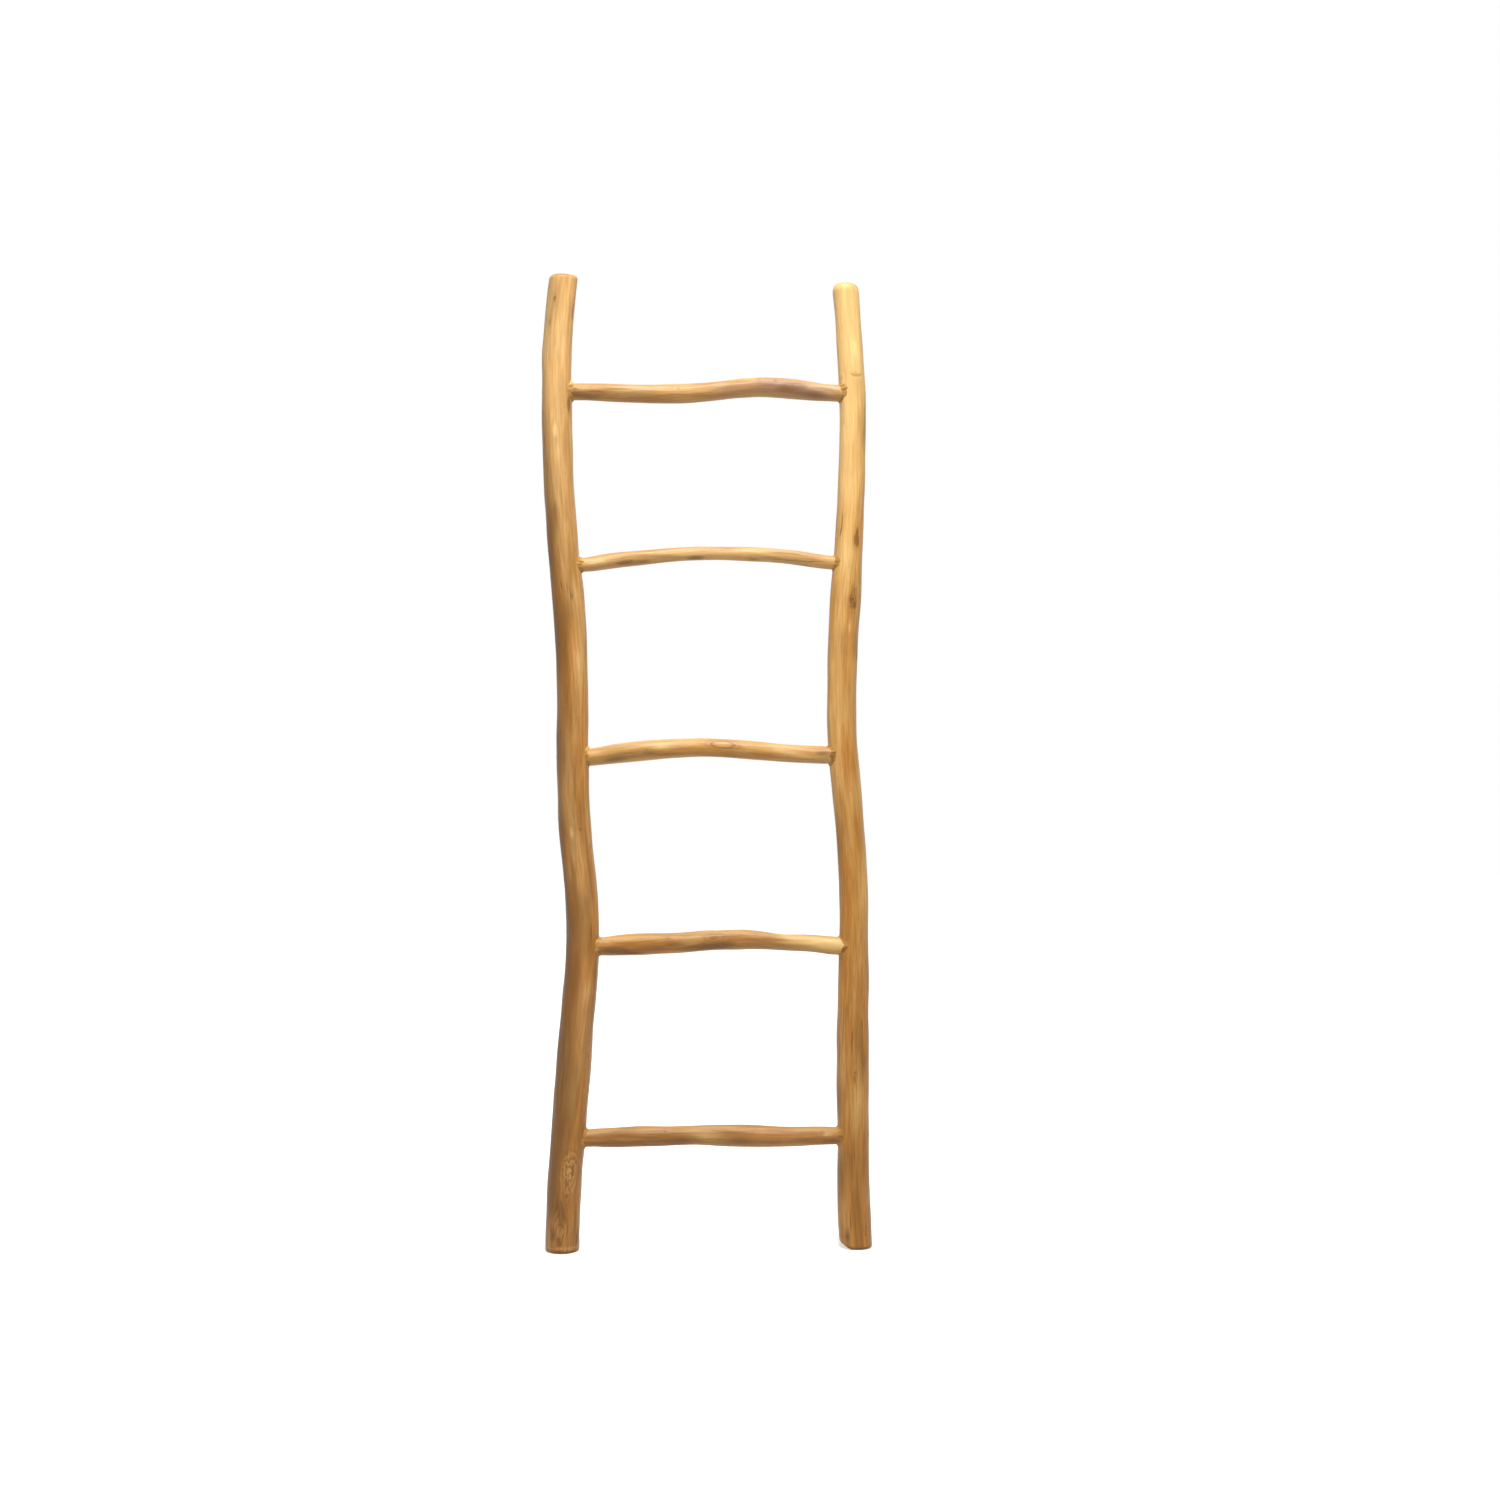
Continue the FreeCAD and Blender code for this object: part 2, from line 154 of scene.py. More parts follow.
# What shows on each branch, by kind: the place along the branch and the turn from
# the front, then the size and the strength. Places and sizes are in millimetres. A
# turn is in degrees, towards the right on a rail and towards the top on a rung.
# knot, crease and swell: the strength is the height or depth in millimetres.
# For all the others the strength is a share of the full effect: pale, brown, mauve
# and dark wood, figured grain, a thin closed ring of grain, a painted highlight and
# painted shade along the whole of one side, a pale band round a sawn end, and painted
# shade on a sawn end's eased edge. The wide dark and brown marks down the left rail's
# left side and the right rail's right edge are painted shade too.
MARKS = {
    "left_rail": {
        "knot": (
            (1461, -26, 2.6, 0.3), (649, 21, 2.2, 0.1), (89.3, 11, 2.6, 0.3),
            (26.8, -32, 2.0, -0.4),
        ),
        "dark": (
            (1462, -24, 2.6, 0.6), (1445, -34, 4, 0.4), (1425, -36, 3.4, 0.5), (1300, 58, 5, 0.7),
            (1130, -22, 10, 0.35), (985, 5, 11, 0.3), (519, 0, 22, 0.3), (300, -30, 14, 0.4),
            # The wide marks from -64 to -74 degrees are painted shade down the left side.
            (120, -66, 26, 0.8), (260, -64, 28, 0.9), (400, -66, 26, 0.8), (520, -72, 19, 0.8),
            (640, -74, 19, 0.8), (200, -28, 12, 0.35), (780, -68, 24, 0.7), (930, -68, 24, 0.7),
            (1080, -66, 22, 0.6), (56, -3, 5, 1.0), (68, -8, 3.4, 0.8), (80, -36, 4, 1.0),
            (29, -36, 3.4, 1.0), (78, -27, 4, 0.8), (16, -10, 6, 0.5),
        ),
        "brown": (
            # The brown marks from -60 to -70 degrees are painted shade down the left side.
            (1448, -32, 8, 0.9), (1400, -62, 13, 0.5), (1305, 64, 8, 0.9), (1240, -70, 14, 0.8),
            (1120, -50, 16, 0.9), (1060, -10, 10, 0.7), (1000, 0, 8, 0.5), (960, -62, 22, 1.0),
            (820, -40, 20, 0.9), (640, -60, 20, 0.8), (470, -50, 24, 1.0), (290, -35, 26, 1.0),
            (120, -60, 20, 0.9), (110, 0, 24, 0.5),
        ),
        "swell": ((1258, -6, 13, 0.9), (508, 0, 26, 0.6)),
        "pale": (
            (1258, -6, 3.4, 1.0), (1228, -2, 5, 0.4), (1400, 10, 14, 0.35), (1010, 24, 8, 0.35),
            (905, 24, 10, 0.4), (644, -15, 3, 0.7), (400, 25, 9, 0.35), (600, -18, 14, 0.25),
            (120, 14, 12, 0.3),
        ),
        "figure": ((124, 13, 14, 0.95), (30, -12, 13, 0.8)),
        "loop": ((91, 11, 5.5, 0.6),),
        # Painted shade along the left side.
        "lower": ((700, -78, 18, 0.35),),
        "rim": ((7.5, 0, 30, 0.8),),
        # The last marks are painted shade on the eased edges of the foot and the top.
        "painted_end_shade": ((1.5, 0, 42, 1.0), (1499, 0, 40, 0.5)),
    },
    "right_rail": {
        "pale": (
            # The mark at 1374 is partly a painted highlight on the swelling below it.
            (1470, -30, 20, 0.9), (1410, 0, 18, 0.5), (1374, 4, 8, 1.0), (1310, -20, 16, 0.6),
            (1180, -24, 15, 0.8), (1075, -18, 14, 0.8), (960, 18, 3.4, 0.5), (830, 16, 12, 0.4),
            (700, 20, 12, 0.45), (225, 14, 15, 0.4),
        ),
        "dark": (
            (1440, -18, 5, 0.35), (1096, 19, 3.6, 0.75), (1093, 33, 3.8, 0.95),
            (1109, 31, 2.6, 0.8), (994, 33, 2.6, 0.8), (1003, 14, 2.4, 0.6), (930, 50, 10, 0.4),
            (690, -32, 8, 0.3), (262, 1, 3, 0.7), (230, -70, 16, 0.6), (110, -68, 18, 0.6),
            # The marks at 82 and 84 degrees are painted shade down the right edge.
            (120, 30, 12, 0.3), (20, -36, 5, 0.7), (1420, 82, 20, 0.55), (1270, 82, 20, 0.55),
            (640, 84, 18, 0.3),
        ),
        "swell": ((1366, 10, 15, 1.5), (1008, 40, 15, 1.9)),
        "crease": ((1350, 14, 9.0, 0.5), (992, 27, 6.5, 0.9)),
        "brown": (
            (1348, 14, 7, 0.7), (1097, 28, 7, 1.0), (1136, 62, 6, 0.8), (1004, 20, 6, 1.0),
            (940, -10, 9, 0.8), (945, 44, 8, 0.8), (1000, 74, 10, 0.6), (900, 66, 16, 0.5),
            (620, -60, 14, 0.4), (480, 60, 18, 0.5), (330, 40, 20, 0.6), (210, -62, 14, 0.7),
            # The marks at 68 and 70 degrees are painted shade down the right edge.
            (1400, 68, 16, 0.9), (660, 70, 16, 0.5), (110, -30, 20, 0.6), (24, 30, 14, 0.6),
        ),
        "knot": (
            (1345, -58, 2.6, 0.3), (1019, 31, 2.2, 0.2), (1003, 22, 5.0, 0.5), (273, 1, 2.8, 0.3),
            (20, -36, 2.8, -0.2),
        ),
        # The last marks are painted shade on the eased edges of the foot and the top.
        "painted_end_shade": ((1, 0, 38, 1.0), (1488, 0, 70, 0.4)),
    },
    "rung_1": {
        "knot": (
            (-205, 12, 2.4, 0.2), (-46, 30, 1.8, 0.1), (78, 48, 2.8, 0.4), (104, 34, 2.4, 0.2),
        ),
        "dark": (
            (-201, -22, 4.2, 1.0), (-180, -42, 6, 0.6), (-52, -5, 7, 0.5), (-10, -28, 7, 0.3),
            (118, -20, 6, 0.5), (128, 8, 6, 0.9), (140, 20, 4, 0.7), (165, -30, 8, 0.6),
        ),
        "brown": ((-190, -10, 12, 0.8), (-100, -40, 10, 0.5)),
        "pale": ((-120, 14, 11, 0.5), (-50, 24, 9, 0.4), (70, 68, 6, 0.9), (180, 55, 8, 0.6)),
        "mauve": ((30, -8, 12, 0.7), (100, 0, 16, 1.0), (165, -10, 16, 1.0)),
        # Painted shade along the rung's lower side.
        "lower": ((0, -60, 11, 0.3),),
        "swell": ((72, 62, 9, 0.7),),
    },
    "rung_2": {
        "dark": (
            (-128, -30, 5, 0.8), (-100, -42, 5, 0.5), (-20, -46, 5, 0.8), (30, 48, 4, 0.5),
            (70, -50, 5, 0.4),
        ),
        "knot": ((-118, -18, 1.6, 0.1),),
        "pale": ((-170, 10, 6, 0.5),),
        # Painted highlight along the rung's top, then painted shade along its lower side.
        "painted_light_along": ((0, 66, 8, 0.1),),
        "lower": ((0, -40, 9, 0.25),),
    },
    "rung_3": {
        "loop": ((22, 24, 6.2, 0.9),),
        "pale": ((22, 26, 5, 0.4), (-72, 16, 7, 0.8), (60, -8, 8, 0.5), (120, 8, 9, 0.4)),
        # Painted highlight along the rung's top, then painted shade along its lower side.
        "painted_light_along": ((0, 70, 7, 0.4),),
        "lower": ((0, -40, 10, 0.45),),
        "dark": ((-88, -12, 6, 0.6), (-140, -36, 7, 0.6), (82, -14, 8, 0.4), (176, 14, 5, 0.8)),
        "brown": ((-60, -20, 9, 0.6),),
        "knot": ((-96, 2, 1.8, 0.1),),
    },
    "rung_4": {
        "dark": (
            (-146, -22, 6, 1.0), (-128, -44, 6, 0.7), (-60, 18, 5, 0.5), (20, -28, 8, 0.8),
            (-8, -36, 6, 0.5),
        ),
        "brown": ((-120, -8, 11, 0.8), (30, -10, 12, 1.0), (110, -30, 9, 0.8)),
        "knot": ((-62, 34, 2.2, 0.2),),
        "figure": ((8, 14, 8, 0.5),),
        "pale": ((-25, 0, 8, 0.4), (130, 50, 8, 0.8), (175, 15, 12, 0.8), (196, 5, 9, 0.7)),
        "swell": ((20, -30, 16, 0.5),),
        # Painted highlight along the rung's top, then painted shade along its lower side.
        "painted_light_along": ((0, 66, 8, 0.5),),
        "lower": ((-20, -25, 10, 0.6),),
    },
    "rung_5": {
        "brown": ((-150, -15, 14, 0.9), (-70, -10, 12, 0.8), (75, -10, 16, 1.0), (160, 0, 12, 0.8)),
        "dark": (
            (-150, -25, 10, 0.4), (-38, -18, 8, 0.7), (48, -16, 9, 0.6), (100, -26, 10, 0.4),
            (190, -20, 7, 0.6),
        ),
        "knot": ((-66, 36, 2.0, 0.1), (176, 26, 3.0, 0.3)),
        "pale": ((-6, 5, 10, 0.6), (183, 18, 4, 1.0)),
        # Painted highlight along the rung's top, then painted shade along its lower side.
        "painted_light_along": ((0, 66, 8, 0.5),),
        "lower": ((0, -20, 11, 0.6),),
    },
}

# How much longer than wide a mark is, along the grain.
STRETCH = {
    "knot": 1.15,
    "crease": 1.0,
    "swell": 1.5,
    "pale": 2.8,
    "brown": 3.6,
    "mauve": 2.4,
    "dark": 3.0,
    "figure": 2.2,
    "loop": 3.0,
    # A painted highlight along a rung's top and painted shade along one side of a branch, then a
    # pale band and painted shade at a sawn end.
    "painted_light_along": 60.0,
    "lower": 60.0,
    "rim": 0.08,
    "painted_end_shade": 0.10,
}

# Filler round each joint: its reach on the rail and on the rung in millimetres, then
# where its thickest lump is, in degrees from the front towards the top, the lump's
# height in millimetres, and its paleness there.
FILLER = {
    ("left", "rung_1"): (3.0, 4.0, 62, 1.8, 0.8),
    ("right", "rung_1"): (3.0, 2.6, 30, 0.5, -0.2),
    ("left", "rung_2"): (3.4, 4.4, 20, 0.7, 0.2),
    ("right", "rung_2"): (3.0, 2.6, 0, 0.6, -0.4),
    ("left", "rung_3"): (2.4, 3.0, 70, 0.7, 0.4),
    ("right", "rung_3"): (3.0, 3.2, 0, 0.6, -0.4),
    ("left", "rung_4"): (2.2, 3.0, 30, 0.7, 0.5),
    ("right", "rung_4"): (2.4, 2.0, -20, 0.5, -0.3),
    ("left", "rung_5"): (2.8, 3.0, 60, 0.6, 0.0),
    ("right", "rung_5"): (3.4, 3.2, 0, 0.8, -0.5),
}

# The wood of each branch and of the pins: rings over the noise's range, shares of
# heartwood, heartwood towards the foot, sapwood towards the head, amber and sapwood,
# strength of the growth lines, roughness, gloss, curl of figured grain, and a tint
# over the whole branch, which on most rungs dims it as painted shade.
LOOK = "rings heartwood foot head amber sapwood lines roughness gloss curl tint".split()
LOOKS = {
    "left_rail": (9.0, 0.6, 0.75, 0.34, 0.55, 0.25, 0.12, 0.4, 0.3, 0.36, (0.955, 0.965, 1.03)),
    "right_rail": (8.0, 0.3, 0.56, 0.75, 0.55, 0.45, 0.09, 0.38, 0.3, 0.18, (1.0, 0.98, 0.93)),
    "rung_1": (7.0, 0.5, 0.3, 0.0, 0.1, 0.15, 0.1, 0.4, 0.45, 0.2, (0.92, 0.96, 1.04)),
    "rung_2": (6.0, 0.4, 0.1, 0.3, 0.3, 0.4, 0.1, 0.38, 0.45, 0.2, (0.9, 0.9, 0.92)),
    "rung_3": (4.0, 0.45, 0.2, 0.15, 0.5, 0.35, 0.08, 0.38, 0.45, 0.06, (0.96, 0.99, 0.97)),
    "rung_4": (7.0, 0.85, 0.3, 0.0, 0.5, 0.3, 0.1, 0.38, 0.4, 0.2, (0.9, 0.9, 0.83)),
    "rung_5": (7.0, 1.0, 0.4, 0.0, 0.6, 0.2, 0.1, 0.4, 0.4, 0.2, (0.84, 0.8, 0.72)),
    "pin": (3.0, 0.9, 0.2, 0.0, 0.2, 0.1, 0.2, 0.45, 0.3, 0.2, (1.0, 1.0, 1.0)),
}


# ---------------------------------------------------------------- reading the frame


def node_points(name):
    """The vertices of a CAD node as rows of x, y and z."""
    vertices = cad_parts[name].data.vertices
    points = np.empty(3 * len(vertices))
    vertices.foreach_get("co", points)
    return points.reshape(-1, 3)


def rings_of(name, axis, join):
    """The rings of a CAD branch: rows of place along it, two coordinates of its
    middle, and radius.

    Vertices with the same place along the axis make a ring when there are enough of
    them. A circle through them solves u*u + v*v = 2*a*u + 2*b*v + c by least
    squares, for the middle (a, b) and for c = radius*radius - a*a - b*b. Rings
    closer than the join length become one: the mean of the widest ones."""
    points = np.roll(node_points(name), 2 - axis, axis=1)
    places, group, counts = np.unique(
        np.round(points[:, 2], 5), return_inverse=True, return_counts=True
    )
    rings = []
    for number in np.flatnonzero(counts > RING_VERTICES):
        across = points[group.ravel() == number, :2]
        middle = (across.min(axis=0) + across.max(axis=0)) / 2
        away = np.hypot(*(across - middle).T)
        rim = across[away > 0.6 * away.max()]
        known = np.column_stack((2 * rim, np.ones(len(rim))))
        a, b, c = np.linalg.lstsq(known, (rim**2).sum(axis=1), rcond=None)[0]
        rings.append((places[number], a, b, math.sqrt(c + a * a + b * b)))
    rings = np.array([ring for ring in rings if ring[3] > RING_LEAST])
    starts = np.flatnonzero(np.diff(rings[:, 0], prepend=-np.inf) > join)
    merged = []
    for cluster in np.split(rings, starts[1:]):
        widest = cluster[cluster[:, 3] > cluster[:, 3].max() - 1e-5]
        merged.append(widest.mean(axis=0))
    return np.array(merged)


def smooth_through(places, values):
    """A natural cubic curve through rows of values at rising places, as a function.

    The second derivatives solve one band of equations: each three neighbours give
    h0*m0 + 2*(h0+h1)*m1 + h1*m2 = 6*(slope1 - slope0). Past its ends the curve goes
    straight on."""
    steps = np.diff(places)
    slopes = np.diff(values, axis=0) / steps[:, None]
    count = len(places)
    band = np.eye(count)
    inner = np.arange(1, count - 1)
    band[inner, inner - 1] = steps[:-1]
    band[inner, inner] = 2 * (steps[:-1] + steps[1:])
    band[inner, inner + 1] = steps[1:]
    right = np.zeros_like(values)
    right[1:-1] = 6 * np.diff(slopes, axis=0)
    bends = np.linalg.solve(band, right)

    def curve(wanted):
        wanted = np.asarray(wanted, dtype=float)
        held = np.clip(wanted, places[0], places[-1])
        index = np.clip(np.searchsorted(places, held) - 1, 0, count - 2)
        step = steps[index][..., None]
        after = (held - places[index])[..., None]
        before = step - after
        low, high = values[index], values[index + 1]
        m0, m1 = bends[index], bends[index + 1]
        result = (m0 * before**3 + m1 * after**3) / (6 * step)
        result += (low / step - m0 * step / 6) * before + (high / step - m1 * step / 6) * after
        slope = (high - low) / step + (m1 * after**2 - m0 * before**2) / (2 * step)
        slope -= (m1 - m0) * step / 6
        return result + slope * (wanted - held)[..., None]

    return curve


# ---------------------------------------------------------------- shapes


def turns(count, backwards=False):
    """Equal angles once round, as one row."""
    angles = np.linspace(0, 2 * math.pi, count, endpoint=False)[None, :]
    return angles[:, ::-1] if backwards else angles


def smoothstep(value, low, high):
    """Rises from 0 at low to 1 at high as 3*t*t - 2*t*t*t."""
    t = np.clip((value - low) / (high - low), 0, 1)
    return t * t * (3 - 2 * t)


def wander(along, angle, seed, orders, waves, count):
    """Smooth chance variation, closed round the branch, of about unit spread: the
    sum of cosines of order*angle + 2*pi*along/wave + phase, each with its own seeded
    whole order, wavelength and phase, over the square root of half their number."""
    chance = np.random.default_rng(seed)
    total = 0
    for _ in range(count):
        order = chance.integers(orders[0], orders[1] + 1)
        wave = chance.uniform(waves[0], waves[1]) * MM * chance.choice((-1, 1))
        phase = chance.uniform(0, 2 * math.pi)
        total = total + np.cos(order * angle + 2 * math.pi * along / wave + phase)
    return total / math.sqrt(count / 2)


class Branch:
    """One peeled branch over the CAD skin of its node: a skin whose every slice
    across the axis is a wavy circle round the middle line of the CAD rings."""

    def __init__(self, node, axis, seed, join, front, sense):
        self.node, self.axis, self.seed, self.front = node, axis, seed, front
        self.rings = rings_of(node, axis, join)
        self.curve = smooth_through(self.rings[:, 0], self.rings[:, 1:])
        points = node_points(node)[:, axis]
        self.low, self.high = float(points.min()), float(points.max())
        self.calm_ends = None
        self.marks = [
            (kind, place * MM, front + sense * math.radians(turn), size * MM, strength)
            for kind, rows in MARKS[node].items()
            for place, turn, size, strength in rows
        ]

    def apart(self, mark, along, angle, radius):
        """How far each point is from a mark, over the mark's size: across the branch
        as radius*angle, along it over the mark's stretch, and both together."""
        kind, place, turn, size, _ = mark
        up = (along - place) / (size * STRETCH[kind])
        across = radius * (np.mod(angle - turn + math.pi, 2 * math.pi) - math.pi) / size
        return across + 0 * up, up + 0 * across, np.hypot(up, across)

    def nearest(self, kind, along, angle, radius):
        """The place beside the nearest mark of a kind, across and along over its
        size, and a third value that falls from 1 to 0 at 2.4 to 3.4 sizes away."""
        least = 9.0 + 0 * radius * angle
        beside = np.zeros((*least.shape, 3))
        for mark in self.marks:
            if mark[0] == kind:
                across, up, d = self.apart(mark, along, angle, radius)
                place = np.stack((across, up, 1 - smoothstep(d, 2.4, 3.4)), axis=-1)
                beside = np.where((d < least)[..., None], place, beside)
                least = np.minimum(least, d)
        return beside

    def radius(self, along, angle):
        """The CAD radius, less what makes the branch oval, lumpy and fibrous, with
        the heights of its knots and swellings.

        A knot is a low bell with a crease round it and a small pit in the middle:
        exp(-(d/1.4)^2) - 0.4*exp(-((d-1)/0.25)^2) - 0.5*exp(-(d/0.35)^2), where d is
        the distance from its middle over its size. A swelling is exp(-d*d/2). A
        crease is a groove across the branch, exp(-(up/0.25)^2 - across^4), that sags
        in its middle."""
        sizes = bpy.context.scene.ladder_sizes
        plain = self.curve(along)[..., 2]
        slow = 0.35 * wander(along, 0 * angle, self.seed, (0, 0), (260, 700), 4)
        oval = 0.5 - 0.5 * np.cos(2 * (angle - self.front) + math.pi + slow)
        lumps = wander(along, angle, self.seed + 1, (1, 4), (70, 260), 14)
        flats = wander(along, angle, self.seed + 2, (4, 9), (45, 160), 16)
        fibres = wander(along, angle, self.seed + 3, (14, 38), (50, 190), 30)
        relief = sizes.lump_height * (lumps + 0.35 * flats) - sizes.out_of_round * oval
        relief = relief + sizes.fibre_height * fibres
        for mark in self.marks:
            kind, strength = mark[0], mark[4] * MM
            if kind not in ("knot", "crease", "swell"):
                continue
            across, up, d = self.apart(mark, along, angle, plain)
            if kind == "swell":
                relief = relief + strength * np.exp(-(d**2) / 2)
            elif kind == "crease":
                sag = up + 0.3 * (1 - across**2)
                relief = relief - strength * np.exp(-((sag / 0.25) ** 2) - across**4)
            else:
                bell = np.exp(-((d / 1.4) ** 2))
                ring = 0.4 * np.exp(-(((d - 1) / 0.25) ** 2))
                pit = 0.5 * np.exp(-((d / 0.35) ** 2))
                relief = relief + strength * bell - abs(strength) * (ring + pit)
        if self.calm_ends:
            low, high = self.calm_ends
            rough = smoothstep(along, low, low + CALM_REACH)
            relief = relief * rough * smoothstep(-along, -high, -high + CALM_REACH)
        return plain + relief

    def place(self, along, angle, radius):
        """Points at a radius and angle from the middle line, at a place along it."""
        middle = self.curve(along)
        u = middle[..., 0] + radius * np.cos(angle)
        v = middle[..., 1] + radius * np.sin(angle)
        return np.roll(np.stack((u, v, along + 0 * u), axis=-1), (self.axis + 1) % 3, axis=-1)

    def attributes(self, along, angle, radius, end):
        """What the wood's shader reads at each point.

        grain is the place in the branch as if it had grown straight: radius times
        the cosine and sine of the angle, and the place along it. Beside a knot the
        angle is drawn in by up to 60 percent, so that the fibres bend round it. dome
        lifts the growth rings into closed ovals by exp(-d*d). tone is above 0 where
        the wood is pale or a painted highlight lies along a rung's top, and below 0
        where it is dark or painted shade lies on a sawn end's edge or down a rail's
        side; tint holds the shares of brown, which takes in painted shade along one
        side, and mauve. knot, crease and loop are the places beside the nearest of
        these, and end is 1 on a sawn end."""
        plain = self.curve(along)[..., 2]
        blank = 0 * radius
        bent, figure, dome = angle + blank, blank, blank
        total = dict.fromkeys(STRETCH, blank)
        for mark in self.marks:
            kind, size, strength = mark[0], mark[3], mark[4]
            across, _, d = self.apart(mark, along, angle, plain)
            bell = np.exp(-(d**2))
            total[kind] = total[kind] + strength * bell
            if kind == "knot":
                bent = bent - 0.6 * across * size / plain * np.exp(-((d / 2) ** 2))
                dome = dome + 0.35 * np.exp(-((d / 1.8) ** 2))
            elif kind == "figure":
                figure = np.maximum(figure, strength * np.exp(-((d / 1.2) ** 4)))
                dome = dome + 0.6 * bell
        # Tone takes in the painted highlight along the rungs' tops and the painted shade on the
        # sawn ends' eased edges; brown takes in the painted shade along one side.
        tone = total["pale"] + total["painted_light_along"] + total["rim"] - total["dark"] - total["painted_end_shade"]
        brown = np.clip(total["brown"] + total["lower"], 0, 1)
        shift = 10.0 * self.seed * MM
        u, v = radius * np.cos(bent), radius * np.sin(bent)
        beside = {
            kind: self.nearest(kind, along, angle, plain) for kind in ("knot", "crease", "loop")
        }
        return {
            "grain": np.stack((u + shift, v - shift, along + blank + shift), axis=-1),
            "dome": dome,
            "figure": figure,
            "tone": np.clip(tone, -1, 1),
            "tint": np.stack((brown, np.clip(total["mauve"], 0, 1), blank), axis=-1),
            **beside,
            "end": end + blank,
        }


def grid_mesh(name, points, attributes, closed=False):
    """A mesh over a grid of points whose columns run round. The rows either close on
    themselves, or end in one pole each, in the middle of the first and last row.
    Going round and then along, each face has its corners anticlockwise seen from
    outside."""
    rows, around = points.shape[:2]
    index = np.arange(rows * around).reshape(rows, around)
    beside = np.roll(index, -1, axis=1)
    above, above_beside = np.roll(index, -1, axis=0), np.roll(beside, -1, axis=0)
    quads = np.stack((index, beside, above_beside, above), axis=-1)
    if not closed:
        quads = quads[:-1]
    flat = points.reshape(-1, 3)
    faces = quads.reshape(-1, 4).tolist()
    if not closed:
        flat = np.vstack((flat, points[0].mean(axis=0), points[-1].mean(axis=0)))
        pole = np.full(around, rows * around)
        faces += np.stack((pole, beside[0], index[0]), axis=-1).tolist()
        faces += np.stack((pole + 1, index[-1], beside[-1]), axis=-1).tolist()
    mesh = bpy.data.meshes.new(name)
    mesh.from_pydata(flat.tolist(), [], faces)
    for title, values in attributes.items():
        width = 3 if values.ndim == 3 else 1
        grid = values.reshape(rows, around, width)
        values = values.reshape(-1, width)
        if not closed:
            values = np.vstack((values, grid[0].mean(axis=0), grid[-1].mean(axis=0)))
        kind, slot = ("FLOAT_VECTOR", "vector") if width == 3 else ("FLOAT", "value")
        layer = mesh.attributes.new(title, kind, "POINT")
        layer.data.foreach_set(slot, values.astype(np.float32).ravel())
    mesh.shade_smooth()
    mesh.set_sharp_from_angle(angle=SHARP_ANGLE)
    mesh.validate()
    return mesh


def add_piece(name, mesh, material, material_slot, *nodes):
    """Shows a finished mesh as one piece of the ladder, in place of CAD nodes."""
    if not np.isfinite([tuple(v.co) for v in mesh.vertices]).all():
        raise RuntimeError(f"{name} has a vertex that is not a number")
    mesh.materials.append(material)
    piece = show(name, mesh)
    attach(piece, "root")
    if nodes:
        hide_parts(*nodes)


def show(name, data):
    """A new object in the scene for a mesh, a lamp or a camera."""
    item = bpy.data.objects.new(name, data)
    bpy.context.scene.collection.objects.link(item)
    return item


def make_branches():
    """Every branch of the ladder by its node's name."""
    branches = {}
    for number, side in enumerate(SIDES):
        node = f"{side}_rail"
        seed = RAIL_SEED + BRANCH_SEEDS * number
        branches[node] = Branch(node, 2, seed, RING_JOIN, -math.pi / 2, 1)
    for number, rung in enumerate(RUNGS):
        branch = Branch(rung, 0, RUNG_SEED + BRANCH_SEEDS * number, 0, math.pi, -1)
        branch.calm_ends = (branch.rings[1, 0], branch.rings[-2, 0])
        branches[rung] = branch
    return branches


def joint_of(rung, side):
    """The tenon's end ring: its place along X, its middle in Y and Z, its radius."""
    return branches[rung].rings[0 if side == "left" else -1]


def face_of(rail, y, z, way):
    """X of a rail's skin at given y and z, on the side that way points to along X.
    The middle line gives the circle, and the skin's radius is taken at the angle
    where y and z meet it."""
    middle = rail.curve(z)
    off = y - middle[..., 1]
    reach = np.sqrt(np.maximum(middle[..., 2] ** 2 - off**2, 0))
    radius = rail.radius(z, np.arctan2(off, way * reach))
    return middle[..., 0] + way * np.sqrt(np.maximum(radius**2 - off**2, 0))


def rail_places(rail, joints):
    """Places of the rows along a rail between its eased ends. The step shrinks
    beside the joints: rows are laid at equal shares of the sum of 1/step."""
    fine = np.arange(rail.low, rail.high, 0.25 * MM)
    step = np.full(len(fine), RAIL_STEP)
    for joint in joints:
        beside = smoothstep(np.abs(fine - joint), JOINT_REACH, JOINT_REACH + 12 * MM)
        step = np.minimum(step, JOINT_STEP + (RAIL_STEP - JOINT_STEP) * beside)
    share = np.cumsum(1 / step) * 0.25 * MM
    return np.interp(np.arange(1, share[-1]), share, fine)


